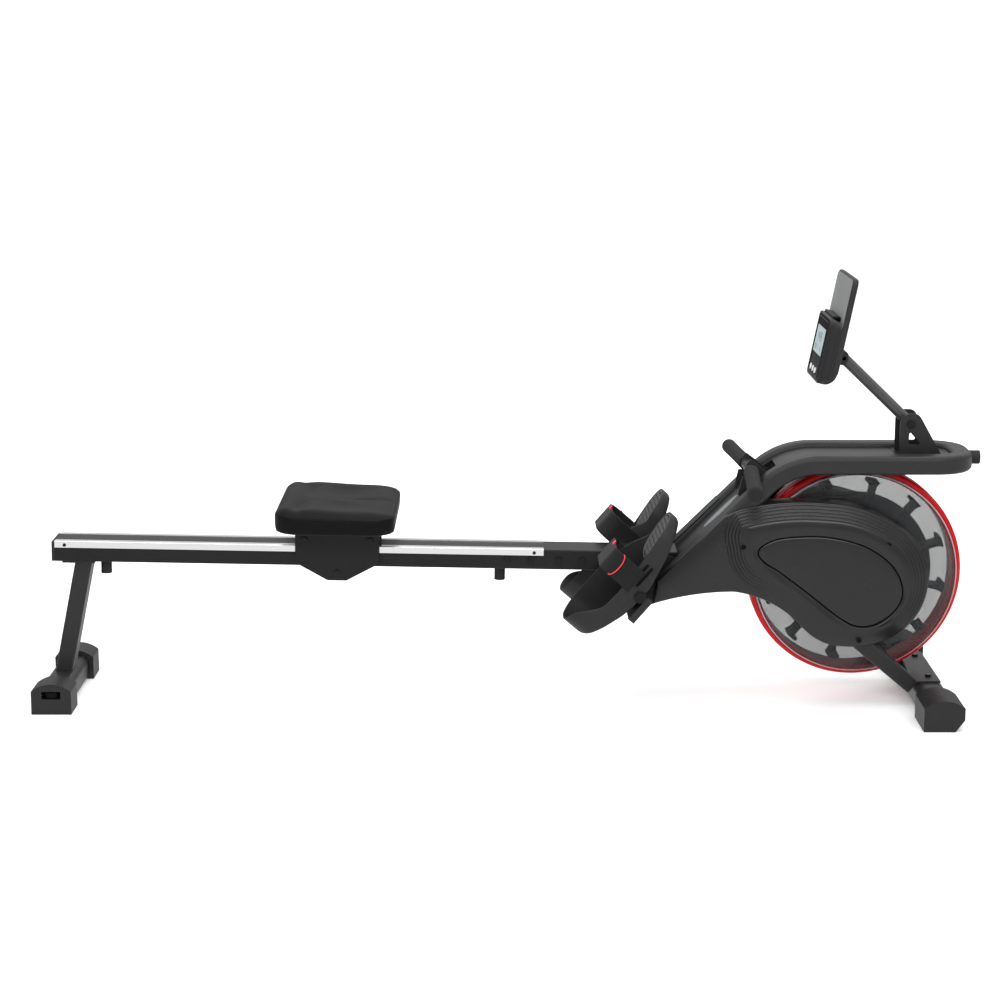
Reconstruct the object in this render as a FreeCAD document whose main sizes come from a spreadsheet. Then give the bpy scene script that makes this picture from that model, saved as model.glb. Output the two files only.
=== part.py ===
"""Rowing machine with a fan and magnet wheel, built as separate pieces with real joints.

Frame: +X towards the wheel end, +Z up, origin on the floor below the middle of the box.
The sitter faces +X, so the right side is -Y. Lengths are millimetres.
"""
import FreeCAD, Part
import math
import os
import re
from FreeCAD import Placement, Rotation, Vector

# Driving dimensions ---------------------------------------------------------------------
sizes = {
    # seat rail: a straight beam that falls towards the wheel
    "railTilt": 1.0, "railJointX": 74.85, "railJointTop": 310.27, "railLength": 993.0,
    "railWidth": 80.0, "railHeight": 41.0, "railWall": 2.5, "railCorner": 3.0,
    "frontBeamLength": 268.0, "spigotLength": 100.0, "spigotWall": 3.0,
    "endCapThick": 6.0, "endCapPlug": 18.0,
    "stripTop": 16.0, "stripSide": 12.0, "stripThick": 1.5, "stripMargin": 3.0,
    "stopRadius": 11.0, "stopHeight": 31.0, "rearStopBack": 98.0, "frontStopBack": 91.0,
    # seat
    "seatBack": 420.4, "seatLength": 242.0, "seatWidth": 330.0, "seatThick": 44.0,
    "carriageLength": 170.0, "carriageTop": 44.0, "carriagePlate": 3.0, "carriageDrop": 69.0,
    "carriageInside": 46.0, "rollerRadius": 12.5, "lowRollerRadius": 13.0, "rollerWidth": 15.0,
    "rollerOffset": 66.5, "axleRadius": 4.0,
    # rear support
    "rearX": -913.5, "legWidth": 50.0, "legDepth": 34.0, "legWall": 2.0, "legLean": 12.0,
    "stabWidth": 60.0, "stabBottom": 5.0, "stabHeight": 46.0, "stabWall": 2.0,
    "capWidth": 80.0, "capHeight": 62.0, "capShoulder": 47.0,
    "rearSpan": 320.0, "rearCapLength": 66.0, "rearTubeEnd": 121.0,
    "levelRadius": 17.0, "levelThick": 11.0, "levelZ": 39.0, "levelInset": 18.0,
    "levelWindow": 38.0, "levelWindowHigh": 16.0, "spindleRadius": 5.0,
    # front support
    "frontX": 850.0, "frontSpan": 550.0, "frontChamfer": 24.0, "frontCapLength": 100.0, "frontTubeEnd": 258.0,
    "transportRadius": 19.0, "transportWide": 18.0, "transportY": 225.0, "transportInset": 12.5,
    "forkInner": 70.0, "forkWide": 30.0, "forkHigh": 32.0, "forkFootX": 819.0, "forkFootZ": 39.0,
    "forkAngle": 40.1, "drivePlate": 6.0, "footPlateLong": 220.0, "footPlateThick": 4.0,
    "footPlateWide": 50.0, "footPlateBack": 3.0, "footBoltY": 75.0,
    # main frame tube
    "tubeWide": 42.0, "tubeHigh": 38.0, "tubeWall": 2.5, "tubeCorner": 10.0, "tubeY": 79.0,
    "tubeTop": 513.0, "slantOffset": 37.0, "slantStartX": 311.1, "bendRadius": 150.0,
    "bowX": 912.0, "bowRadius": 57.0, "coverDrop": 9.5, "coverWall": 3.0,
    # wheel, drive and strap
    "wheelX": 703.5, "wheelZ": 263.0, "ringRadius": 217.0, "ringInside": 199.0, "ringHalf": 28.0,
    "shroudHalf": 45.0, "shroudRadius": 209.0, "shroudWall": 2.5, "axleR": 6.0,
    "fanHub": 18.0, "fanDisc": 160.0, "fanTip": 188.0, "fanHalf": 23.0, "fanVanes": 12.0,
    "discThick": 3.0, "vaneThick": 8.0, "vaneFoot": 13.0, "vaneRoot": 100.0, "firstVane": 18.0,
    "bearingRadius": 14.0, "bearingWide": 10.0,
    "spoolX": 430.0, "spoolZ": 288.0, "spoolShaft": 8.0, "spoolCore": 30.0, "spoolRim": 42.0,
    "spoolHalf": 18.0, "pulleyRadius": 44.0, "smallPulley": 16.0, "beltThick": 2.4,
    "beltWide": 9.0, "beltY": 51.0, "strapThick": 1.6, "strapWide": 26.0, "woundRadius": 35.0,
    "guideX": 528.0, "guideZ": 450.0, "guideRadius": 10.2, "guidePin": 4.0,
    # handle
    "handleX": 487.6, "handleZ": 472.6, "handleBack": 15.0, "handleDrop": 3.5,
    "handleHalf": 262.0, "barRadius": 11.0, "gripRadius": 15.0, "gripStart": 46.0,
    "restInside": 38.0, "restWall": 3.0,
    # side covers
    "coverInner": 60.0, "coverFace": 104.0, "coverThick": 2.5, "domeHigh": 10.0,
    # pedals
    "pedalHeelX": 158.6, "pedalHeelZ": 162.0, "pedalAngle": 49.0, "pedalPivotU": 129.0,
    "pedalPivotN": -22.0, "pedalInner": 59.0, "pedalWide": 112.0, "pedalLong": 286.0,
    "pedalWall": 4.0, "pedalShaft": 8.0, "crossWide": 58.0, "crossThick": 14.0,
    "crossHalf": 166.0, "crossGap": 1.5, "strapLong": 50.0, "bandThick": 3.0, "bandGap": 0.3,
    "rightStrapU": 122.0, "rightStrapRise": 79.0, "leftStrapU": 141.0, "leftStrapRise": 91.0,
    "innerWall": 58.0,
    # console
    "earInside": 27.0, "earThick": 4.0, "pivotX": 808.0, "pivotZ": 566.5, "pivotPin": 5.0,
    "mastRadius": 11.0, "mastLength": 188.9, "mastAngle": 43.8, "mastKnuckle": 13.0,
    "faceX": 608.2, "faceZ": 656.2, "faceTilt": 11.1, "consoleWide": 150.0,
    "consoleHigh": 131.0, "consoleDeep": 23.0, "tabletThick": 12.0, "tabletHigh": 218.0, "tabletWide": 200.0,
    "hingePin": 4.0, "buttonRadius": 6.0, "buttonPitch": 30.0, "buttonZ": 20.0,
    "screenWide": 104.0, "screenLow": 51.0, "screenTop": 105.0, "screenThick": 2.5,
    # bumper on the front bow
    "bumperRadius": 14.0, "bumperTip": 953.5,
    # running gaps
    "shaftGap": 0.05, "slideGap": 0.3,
}

doc = FreeCAD.newDocument("RowingMachine")
sheet = doc.addObject("Spreadsheet::Sheet", "Sizes")
for row, (alias, number) in enumerate(sizes.items(), 1):
    sheet.set(f"A{row}", alias)
    sheet.set(f"B{row}", str(number))
    sheet.setAlias(f"B{row}", alias)
doc.recompute()


class Size:
    """The sheet's numbers, read back as attributes."""


for alias in sizes:
    setattr(Size, alias, float(sheet.get(alias)))
s = Size
nodes = {}
noTurn = Rotation()
sideView = Rotation(Vector(1, 0, 0), Vector(0, 0, 1), Vector(0, -1, 0))
endView = Rotation(Vector(0, 1, 0), Vector(0, 0, 1), Vector(1, 0, 0))


# Helpers --------------------------------------------------------------------------------
def bind(item, prop, rule):
    """Set a size: a rule in words of the sheet is bound to it, a number is just set."""
    if isinstance(rule, str):
        item.setExpression(prop, re.sub(r"[A-Za-z]\w*", lambda word: "Sizes." + word.group(), rule))
    else:
        setattr(item, prop, rule)


def at(x=0.0, y=0.0, z=0.0, turn=noTurn):
    return Placement(Vector(x, y, z), turn)


def about(axis, degrees):
    return Rotation(axis, degrees)


def keep(node, item):
    """Name a finished sub-part; its label is the name of its file."""
    item.Label = node
    nodes[node] = item
    return item


def cylinder(name, radius, height, place):
    item = doc.addObject("Part::Cylinder", name)
    bind(item, "Radius", radius)
    bind(item, "Height", height)
    item.Placement = place
    return item


def alongY(name, radius, halfRule, x, z, y=0.0, frame=Placement()):
    """A cylinder across the machine, centred on y; halfRule is half its length in sheet words."""
    item = doc.addObject("Part::Cylinder", name)
    bind(item, "Radius", radius)
    bind(item, "Height", "2 * (" + halfRule + ")" if isinstance(halfRule, str) else 2 * halfRule)
    doc.recompute()
    item.Placement = frame * at(x, y + item.Height.Value / 2, z, sideView)
    return item


def box(name, length, width, height, place):
    item = doc.addObject("Part::Box", name)
    bind(item, "Length", length)
    bind(item, "Width", width)
    bind(item, "Height", height)
    item.Placement = place
    return item


def loop(points, radius=0.0):
    """Closed outline of lines, each corner rounded by radius (one value, or one for each point)."""
    count = len(points)
    radii = radius if isinstance(radius, (list, tuple)) else [radius] * count
    corners = [Vector(p[0], p[1], 0) for p in points]
    edges, ends = [], []
    for i, corner in enumerate(corners):
        back = (corners[i - 1] - corner).normalize()
        ahead = (corners[(i + 1) % count] - corner).normalize()
        if radii[i] <= 0:
            ends.append((corner, None, corner))
            continue
        half = back.getAngle(ahead) / 2
        reach = radii[i] / math.tan(half)
        middle = (back + ahead).normalize()
        centre = corner + middle * (radii[i] / math.sin(half))
        ends.append((corner + back * reach, centre - middle * radii[i], corner + ahead * reach))
    for i, (start, mid, end) in enumerate(ends):
        if mid is not None:
            edges.append(Part.Arc(start, mid, end))
        following = ends[(i + 1) % count][0]
        if (following - end).Length > 1e-6:
            edges.append(Part.LineSegment(end, following))
    return edges


def circle(x, y, radius):
    return [Part.Circle(Vector(x, y, 0), Vector(0, 0, 1), radius)]


def rectangle(width, height, radius=0.0, x=0.0, y=0.0):
    """Rectangle centred on x, y."""
    w, h = width / 2, height / 2
    return loop([(x - w, y - h), (x + w, y - h), (x + w, y + h), (x - w, y + h)], radius)


def pad(name, loops, depth, place, symmetric=False):
    """PartDesign body: outlines on the XY plane, padded along Z, then placed."""
    body = doc.addObject("PartDesign::Body", name)
    sketch = body.newObject("Sketcher::SketchObject", name + "Outline")
    plane = [item for item in body.Origin.OriginFeatures if item.Role == "XY_Plane"][0]
    sketch.AttachmentSupport = (plane, [""])
    sketch.MapMode = "FlatFace"
    for outline in loops:
        sketch.addGeometry(outline, False)
    feature = body.newObject("PartDesign::Pad", name + "Pad")
    feature.Profile = sketch
    bind(feature, "Length", depth)
    feature.SideType = "Symmetric" if symmetric else "One side"
    body.Placement = place
    return body


def spun(name, points, place):
    """PartDesign body: a closed outline (radius, height) turned about Z, then placed."""
    body = doc.addObject("PartDesign::Body", name)
    sketch = body.newObject("Sketcher::SketchObject", name + "Profile")
    plane = [item for item in body.Origin.OriginFeatures if item.Role == "XZ_Plane"][0]
    sketch.AttachmentSupport = (plane, [""])
    sketch.MapMode = "FlatFace"
    sketch.addGeometry(loop(points), False)
    feature = body.newObject("PartDesign::Revolution", name + "Turn")
    feature.Profile = sketch
    feature.ReferenceAxis = (sketch, ["V_Axis"])
    feature.Angle = 360
    body.Placement = place
    return body


def fuse(name, items):
    item = doc.addObject("Part::MultiFuse", name)
    item.Shapes = items
    item.Refine = True
    return item


def cut(name, base, tools):
    tool = tools[0] if len(tools) == 1 else fuse(name + "Tools", tools)
    item = doc.addObject("Part::Cut", name)
    item.Base = base
    item.Tool = tool
    return item


def group(name, items):
    item = doc.addObject("Part::Compound", name)
    item.Links = items
    return item


def sides(maker):
    """Make a piece for the right (-1) and for the left (+1) side."""
    return [maker("right", -1.0), maker("left", 1.0)]


# Rail: local frame with x along the rail from the joint, z up from its top ---------------
railFrame = at(s.railJointX, 0, s.railJointTop, about(Vector(0, 1, 0), s.railTilt))
railMid = -s.railHeight / 2
boltRadius, boltHole, boltHead, boltHeadHigh = 4.0, 4.2, 6.5, 4.5
spliceBolts = [-76.2, -28.8, 27.4, 74.7]
stripScrews = [-s.railLength + 20.5, -22.0]
screwRadius, screwHole, screwHead, screwHeadHigh = 1.9, 2.1, 3.4, 1.4
stripInset = 0.5


def railTube(name, start, length, width, height, wall, corner):
    """Rectangular tube along the rail; width, height and wall in mm, length in sheet words."""
    section = [rectangle(width, height, corner, 0, railMid)]
    section.append(rectangle(width - 2 * wall, height - 2 * wall, max(corner - wall, 0.5), 0, railMid))
    return pad(name, section, length, railFrame * at(start, 0, 0, endView))


def railDrills(name, places, radius, z):
    return [alongY(f"{name}{i}", radius, "railWidth", x, z, 0, railFrame)
            for i, x in enumerate(places)]


beam = railTube("beam", -s.railLength, "railLength", s.railWidth, s.railHeight, s.railWall, s.railCorner)
screwZ = -s.stripSide / 2 - 0.5
keep("rail_beam", cut("railBeam", beam, railDrills("beamHole", spliceBolts[:2], boltHole, railMid)
                      + railDrills("beamScrew", stripScrews, screwHole, screwZ)))
frontTube = railTube("frontTube", 0, "frontBeamLength", s.railWidth, s.railHeight, s.railWall,
                     s.railCorner)
boreWidth, boreHeight = s.railWidth - 2 * s.railWall, s.railHeight - 2 * s.railWall
spigot = railTube("spigot", -s.spigotLength, "spigotLength + 40", boreWidth - 2 * s.slideGap,
                  boreHeight - 2 * s.slideGap, s.spigotWall, 1.0)
collar = railTube("collar", 0, 40.0, boreWidth, boreHeight, s.spigotWall, 0.5)
keep("front_beam", cut("frontBeam", fuse("frontWeld", [frontTube, spigot, collar]),
                       railDrills("frontHole", spliceBolts, boltHole, railMid)))
capPlate = pad("capPlate", [rectangle(s.railWidth, s.railHeight, s.railCorner, 0, railMid)],
               "endCapThick", railFrame * at(-s.railLength - s.endCapThick, 0, 0, endView))
capPlug = pad("capPlug", [rectangle(boreWidth - 2 * s.slideGap, boreHeight - 2 * s.slideGap, 1.0,
                                    0, railMid)],
              "endCapPlug", railFrame * at(-s.railLength, 0, 0, endView))
keep("rail_end_cap", fuse("railEndCap", [capPlate, capPlug]))


def strip(side, sign):
    """Polished angle that wraps one top corner of the rail; the rollers run on it."""
    outer, half = s.railWidth / 2 + s.stripThick, s.railWidth / 2
    points = [(sign * (outer - s.stripTop), 0), (sign * half, 0), (sign * half, -s.stripSide),
              (sign * outer, -s.stripSide), (sign * outer, s.stripThick),
              (sign * (outer - s.stripTop), s.stripThick)]
    angle = pad("strip" + side, [loop(points, [0, 0, 0, 0, 1.2, 0])],
                "railLength - stripMargin - " + str(stripInset),
                railFrame * at(-s.railLength + stripInset, 0, 0, endView))
    holes = railDrills("stripHole" + side, stripScrews, screwHole, screwZ)
    return keep("rail_strip_" + side, cut("railStrip" + side, angle, holes))


sides(strip)
stops = [cylinder(f"stop{i}", "stopRadius", "stopHeight",
                  railFrame * at(x, 0, -s.railHeight - s.stopHeight))
         for i, x in enumerate([-s.railLength + s.rearStopBack, -s.frontStopBack])]
keep("rail_stops", group("railStops", stops))

# Seat carriage, its rollers and the cushion ----------------------------------------------
seatX = -s.seatBack
topAxleZ = s.stripThick + s.rollerRadius + s.slideGap
lowAxleZ = -s.railHeight - s.lowRollerRadius - s.slideGap


def carriageSide(side, sign):
    half, edge, tip = s.carriageLength / 2, -33.0, 19.0
    points = [(-half, s.carriageTop), (half, s.carriageTop), (half, edge), (tip, -s.carriageDrop),
              (-tip, -s.carriageDrop), (-half, edge)]
    y = s.carriageInside if sign < 0 else -s.carriageInside - s.carriagePlate
    return pad("carriage" + side, [loop(points, [3, 3, 12, 8, 8, 12])], "carriagePlate",
               railFrame * at(seatX, -y, 0, sideView))


def seatAxle(name, x, z):
    """Axle with a bolt head outside each side plate."""
    rod = alongY(name, "axleRadius", "carriageInside + carriagePlate", x, z, 0, railFrame)
    head = alongY(name + "Head", boltHead, "carriageInside + carriagePlate + 4", x, z, 0, railFrame)
    inner = alongY(name + "Inner", boltHead + 1, "carriageInside + carriagePlate", x, z, 0, railFrame)
    return [rod, cut(name + "Heads", head, [inner])]


plateTop = box("plateTop", "carriageLength", "2 * (carriageInside + carriagePlate)", "carriagePlate + 1",
               railFrame * at(seatX - s.carriageLength / 2, -s.carriageInside - s.carriagePlate,
                              s.carriageTop))
axles = [("rear", -s.rollerOffset, topAxleZ), ("front", s.rollerOffset, topAxleZ),
         ("lower", 0.0, lowAxleZ)]
axleSolids = [solid for name, x, z in axles for solid in seatAxle("axle" + name, seatX + x, z)]
keep("seat_carriage", fuse("seatCarriage", sides(carriageSide) + [plateTop] + axleSolids))
rollerY = {"rear": 34.0, "front": 34.0, "lower": 30.0}
for name, x, z in axles:
    radius = "lowRollerRadius" if name == "lower" else "rollerRadius"
    pair = []
    for sign in (-1.0, 1.0):
        wheel = alongY(f"roller{name}{sign:+.0f}", radius, "rollerWidth / 2", seatX + x, z,
                       sign * rollerY[name], railFrame)
        bore = alongY(f"rollerBore{name}{sign:+.0f}", "axleRadius + shaftGap", "rollerWidth",
                      seatX + x, z, sign * rollerY[name], railFrame)
        pair.append(cut(f"rollerCut{name}{sign:+.0f}", wheel, [bore]))
    keep("seat_rollers_" + name, group("rollers" + name, pair))
cushion = pad("cushion", [rectangle(s.seatLength, s.seatWidth, 40)], "seatThick",
              railFrame * at(seatX, 0, s.carriageTop + s.carriagePlate + 1 + s.slideGap))
keep("seat_pad", cushion)


# Stabilizer tubes and their foot caps ----------------------------------------------------
def tubeSection(centre, grow=0.0):
    """Round-topped outline of a stabilizer tube, grown all round by grow."""
    half = s.stabWidth / 2 + grow
    low, high = s.stabBottom - grow, s.stabBottom + s.stabHeight + grow
    points = [(centre - half, low), (centre + half, low), (centre + half, high), (centre - half, high)]
    return loop(points, [6 + grow, 6 + grow, 18 + grow, 18 + grow])


def capSection(centre, chamfer):
    """Foot cap outline: flat sole, upright sides and an arched top; chamfer cuts the front foot."""
    half = s.capWidth / 2
    low = [Vector(centre - half, 0), Vector(centre + half - 0.75 * chamfer, 0)]
    low += [Vector(centre + half, chamfer)] if chamfer else []
    low += [Vector(centre + half, s.capShoulder)]
    edges = [Part.LineSegment(a, b) for a, b in zip(low, low[1:]) if (a - b).Length > 0.01]
    left = Vector(centre - half, s.capShoulder)
    edges.append(Part.Arc(low[-1], Vector(centre, s.capHeight), left))
    edges.append(Part.LineSegment(left, low[0]))
    return edges


stabEnd = s.stabBottom + s.stabHeight


def stabilizer(name, centre, half):
    inner = tubeSection(centre, -s.stabWall)
    return pad(name, [tubeSection(centre), inner], "2 * " + half, at(turn=sideView), True)


def footCap(name, sign, centre, span, length, tubeEnd, chamfer):
    """Moulded foot cap with a blind socket for the tube."""
    mouth = span / 2 - getattr(s, length)
    outer = pad(name + "Body", [capSection(centre, chamfer)], length,
                at(0, -mouth if sign < 0 else span / 2, 0, sideView))
    bottom = tubeEnd + s.slideGap
    socket = pad(name + "Socket", [tubeSection(centre, s.slideGap)], bottom - mouth + 5,
                 at(0, 5 - mouth if sign < 0 else bottom, 0, sideView))
    return outer, [socket]


keep("rear_stabilizer", stabilizer("rearTube", s.rearX, "rearTubeEnd"))
levelY = s.rearSpan / 2 - s.levelInset


def rearCap(side, sign):
    name = "rearCap" + side
    outer, tools = footCap(name, sign, s.rearX, s.rearSpan, "rearCapLength", s.rearTubeEnd, 0.0)
    well = cylinder(name + "Well", "levelRadius + slideGap", "levelThick + 2 * slideGap",
                    at(s.rearX, sign * levelY, s.levelZ - s.levelThick / 2 - s.slideGap))
    window = box(name + "Window", "levelWindow", 30.0, "levelWindowHigh",
                 at(s.rearX - s.levelWindow / 2, sign * s.rearSpan / 2 - 15 - sign * 12,
                    s.levelZ - s.levelWindowHigh / 2))
    bore = cylinder(name + "Bore", "spindleRadius + shaftGap", "levelZ",
                    at(s.rearX, sign * levelY, -1))
    return keep("rear_foot_cap_" + side, cut(name, outer, tools + [well, window, bore]))


def levelWheel(side, sign):
    disc = cylinder("level" + side, "levelRadius", "levelThick",
                    at(s.rearX, sign * levelY, s.levelZ - s.levelThick / 2))
    spindle = cylinder("spindle" + side, "spindleRadius", "levelZ - 2",
                       at(s.rearX, sign * levelY, 1.0))
    return keep("level_wheel_" + side, fuse("levelWheel" + side, [disc, spindle]))


sides(rearCap)
sides(levelWheel)

transportX = s.frontX + s.capWidth / 2 - s.transportInset
transportZ = s.transportRadius + 1.0


def frontCap(side, sign):
    name = "frontCap" + side
    outer, tools = footCap(name, sign, s.frontX, s.frontSpan, "frontCapLength", s.frontTubeEnd,
                           s.frontChamfer)
    y = sign * s.transportY
    notch = alongY(name + "Notch", "transportRadius + 1.5", "transportWide / 2 + 1", transportX,
                   transportZ, y)
    pin = alongY(name + "Pin", "guidePin + shaftGap", "transportWide / 2 + 6", transportX,
                 transportZ, y)
    return keep("front_foot_cap_" + side, cut(name, outer, tools + [notch, pin]))


def transportWheel(side, sign):
    y = sign * s.transportY
    disc = alongY("transport" + side, "transportRadius", "transportWide / 2", transportX, transportZ, y)
    pin = alongY("transportPin" + side, "guidePin", "transportWide / 2 + 5", transportX, transportZ, y)
    return keep("transport_wheel_" + side, fuse("transportWheel" + side, [disc, pin]))


frontTubeRaw = stabilizer("frontTubeRaw", s.frontX, "frontTubeEnd")
wheelClear = [alongY(f"tubeNotch{sign:+.0f}", "transportRadius + 1.5", "transportWide / 2 + 7",
                     transportX, transportZ, sign * s.transportY) for sign in (-1.0, 1.0)]
footBoltX = s.forkFootX + 34.5
footBolts = [cylinder(f"footBoltHole{sign:+.0f}", boltHole, 40.0,
                      at(footBoltX, sign * s.footBoltY, stabEnd - 20)) for sign in (-1.0, 1.0)]
keep("front_stabilizer", cut("frontStabilizer", frontTubeRaw, wheelClear + footBolts))
sides(frontCap)
sides(transportWheel)

# Rear leg: leaning tube from the rail down to the rear stabilizer -------------------------
leg = math.radians(s.legLean)
legFoot = Vector(s.rearX + 1.0, 0, stabEnd)
legUp = Vector(math.sin(leg), 0, math.cos(leg))
legTube = pad("legTube", [rectangle(s.legDepth, s.legWidth, 4),
                          rectangle(s.legDepth - 2 * s.legWall, s.legWidth - 2 * s.legWall, 2)],
              320.0, Placement(legFoot - legUp * 30, about(Vector(0, 1, 0), s.legLean)))
railBox = box("railBox", 400.0, 200.0, 200.0,
              railFrame * at(-s.railLength - 100, -100, -s.railHeight - 4))
floorBox = box("floorBox", 400.0, 200.0, 200.0, at(s.rearX - 200, -100, stabEnd - 200))
topPlate = box("legTopPlate", 66.0, 70.0, 4.0,
               railFrame * at(-s.railLength + 14, -35, -s.railHeight - 4))
keep("rear_leg", fuse("rearLeg", [cut("legTrim", legTube, [railBox, floorBox]), topPlate]))


# Main frame: one tube bent into a U, slanted at the back and level over the wheel ---------
def tubeSectionWire(width, height, corner, place):
    wire = Part.Wire([edge.toShape() for edge in rectangle(width, height, corner)])
    wire.Placement = place
    return wire


root2 = math.sqrt(2)
levelZ = s.tubeTop - s.tubeHigh / 2
slantLine = s.slantOffset + s.tubeHigh / 2 * root2        # centre line: z = x - slantLine
kneeX = levelZ + slantLine
kneeReach = s.bendRadius * math.tan(math.radians(22.5))
kneeMidX, kneeMidZ = kneeX + kneeReach, levelZ - s.bendRadius


def framePath(sign):
    """Right half of the U from its low end to the bow's middle; sign -1 is the right side."""
    y = sign * s.tubeY
    low = Vector(s.slantStartX, y, s.slantStartX - slantLine)
    kneeIn = Vector(kneeX - kneeReach / root2, y, levelZ - kneeReach / root2)
    kneeOut = Vector(kneeMidX, y, levelZ)
    turn = math.radians(22.5)
    kneeMid = Vector(kneeMidX - s.bendRadius * math.sin(turn), y,
                     kneeMidZ + s.bendRadius * math.cos(turn))
    bowIn = Vector(s.bowX - s.bowRadius, y, levelZ)
    corner = Vector(s.bowX - s.bowRadius, sign * (s.tubeY - s.bowRadius), levelZ)
    bowOut = Vector(s.bowX, corner.y, levelZ)
    bowMid = corner + Vector(1, sign, 0).normalize() * s.bowRadius
    return [Part.LineSegment(low, kneeIn), Part.Arc(kneeIn, kneeMid, kneeOut),
            Part.LineSegment(kneeOut, bowIn), Part.Arc(bowIn, bowMid, bowOut)]


right, left = framePath(-1.0), framePath(1.0)
bowEnds = (right[-1].EndPoint, left[-1].EndPoint)
spine = Part.Wire([edge.toShape() for edge in right] + [Part.LineSegment(*bowEnds).toShape()]
                  + [edge.toShape() for edge in reversed(left)])
startTurn = Rotation(Vector(0, 1, 0), Vector(-1, 0, 1) * (1 / root2), Vector(1, 0, 1) * (1 / root2))
startPlace = Placement(right[0].StartPoint, startTurn)
outerTube = spine.makePipeShell([tubeSectionWire(s.tubeWide, s.tubeHigh, s.tubeCorner, startPlace)],
                                True, False)
innerTube = spine.makePipeShell([tubeSectionWire(s.tubeWide - 2 * s.tubeWall, s.tubeHigh - 2 * s.tubeWall,
                                                 s.tubeCorner - s.tubeWall, startPlace)], True, False)
frameTube = doc.addObject("Part::Feature", "frameTube")
frameTube.Shape = outerTube.cut(innerTube)
bumperPin = cylinder("bumperHole", 5.2, 40.0, at(s.bowX - 5, 0, levelZ, about(Vector(0, 1, 0), 90)))
keep("main_frame", cut("mainFrame", frameTube, [bumperPin]))
bumperStart = s.bowX + s.tubeWide / 2
bumperHead = cylinder("bumperHead", "bumperRadius", s.bumperTip - bumperStart,
                      at(bumperStart, 0, levelZ, about(Vector(0, 1, 0), 90)))
bumperStem = cylinder("bumperStem", 5.0, 16.0, at(bumperStart - 16, 0, levelZ, about(Vector(0, 1, 0), 90)))
keep("storage_bumper", fuse("storageBumper", [bumperHead, bumperStem]))

# Front fork: two legs, their drive plates and the plate on the stabilizer -----------------
forkTurn = about(Vector(0, 1, 0), s.forkAngle)
forkFoot = Vector(s.forkFootX, 0, s.forkFootZ)
forkBack = forkTurn.multVec(Vector(-1, 0, 0))
drivePoints = [(410, 270), (410, 304), (443, 349), (475, 336), (560, 288), (650, 262), (668, 292),
               (735, 352), (772, 348), (768, 326), (734, 262), (732, 152), (705, 140), (600, 205),
               (480, 262), (445, 262)]
coverBoss = (758.0, 339.3)


def forkSide(side, sign):
    y = sign * s.forkInner
    bar = pad("forkBar" + side, [rectangle(s.forkHigh, s.forkWide, 4),
                                 rectangle(s.forkHigh - 5, s.forkWide - 5, 1.5)], 560.0,
              Placement(forkFoot + Vector(0, y + sign * s.forkWide / 2, 0) + forkBack * 560,
                        forkTurn * about(Vector(0, 1, 0), 90)))
    slant = box("forkSlant" + side, 600.0, 60.0, 200.0,
                at(s.slantOffset + s.tubeHigh * root2, -30 + y + sign * 15, 0, about(Vector(0, 1, 0), -45)))
    plateStart = -s.forkInner + s.drivePlate if sign < 0 else s.forkInner
    plate = pad("drivePlate" + side, [loop(drivePoints, [10] * 10 + [30, 8, 6, 20, 8, 8])],
                "drivePlate", at(0, plateStart, 0, sideView))
    return [cut("forkTrim" + side, bar, [slant]), plate]


footPlate = box("footPlate", "footPlateWide", "footPlateLong", "footPlateThick",
                at(s.forkFootX + s.footPlateBack, -s.footPlateLong / 2, stabEnd))
forkSolids = [solid for pair in sides(forkSide) for solid in pair]
stabShape = pad("stabShape", [tubeSection(s.frontX)], 300.0, at(turn=sideView), True)
forkHoles = [alongY("forkSpoolHole", "spoolShaft + shaftGap", 90.0, s.spoolX, s.spoolZ),
             alongY("forkAxleHole", "axleR + shaftGap", 90.0, s.wheelX, s.wheelZ),
             cylinder("plateHoleR", boltHole, 30.0, at(footBoltX, -s.footBoltY, stabEnd - 5)),
             cylinder("plateHoleL", boltHole, 30.0, at(footBoltX, s.footBoltY, stabEnd - 5))]
fork = keep("front_fork", cut("frontFork", fuse("forkWeld", forkSolids + [footPlate]),
                              [stabShape] + forkHoles))

# Wheel: shroud, fan, bearings and axle ---------------------------------------------------
wheelPlace = at(s.wheelX, 0, s.wheelZ, sideView)
soft = 7.0
ring = spun("shroudRing", [(s.ringInside, -s.ringHalf), (s.ringRadius - soft, -s.ringHalf),
                           (s.ringRadius, -s.ringHalf + soft), (s.ringRadius, s.ringHalf - soft),
                           (s.ringRadius - soft, s.ringHalf), (s.ringInside, s.ringHalf)], wheelPlace)
keep("shroud_ring", ring)
hubHole = {"right": s.fanHub + 3.0, "left": s.axleR + 2.0}


def shroudCover(side, sign):
    """Clear dish screwed to the ring's flank."""
    low, high, wall, edge = s.ringHalf, s.shroudHalf, s.shroudWall, s.shroudRadius
    points = [(hubHole[side], high - wall), (edge - 6 - wall / 2, high - wall), (edge - wall, high - 6 - wall / 2),
              (edge - wall, low), (edge, low), (edge, high - 6), (edge - 6, high), (hubHole[side], high)]
    turned = [(r, -sign * z) for r, z in points]
    return keep("shroud_cover_" + side, spun("shroudCover" + side, turned, wheelPlace))


sides(shroudCover)
hubHalf = 30.0
hubNose = s.shroudHalf + 0.7
fanDisc = pad("fanDisc", [circle(0, 0, s.fanDisc)], "discThick", wheelPlace, True)
hubBody = pad("fanHubBody", [circle(0, 0, s.fanHub)], hubHalf + hubNose, wheelPlace * at(0, 0, -hubHalf))
vanes = []
vaneCount = int(s.fanVanes)
vaneSide = s.vaneThick / 2
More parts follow.
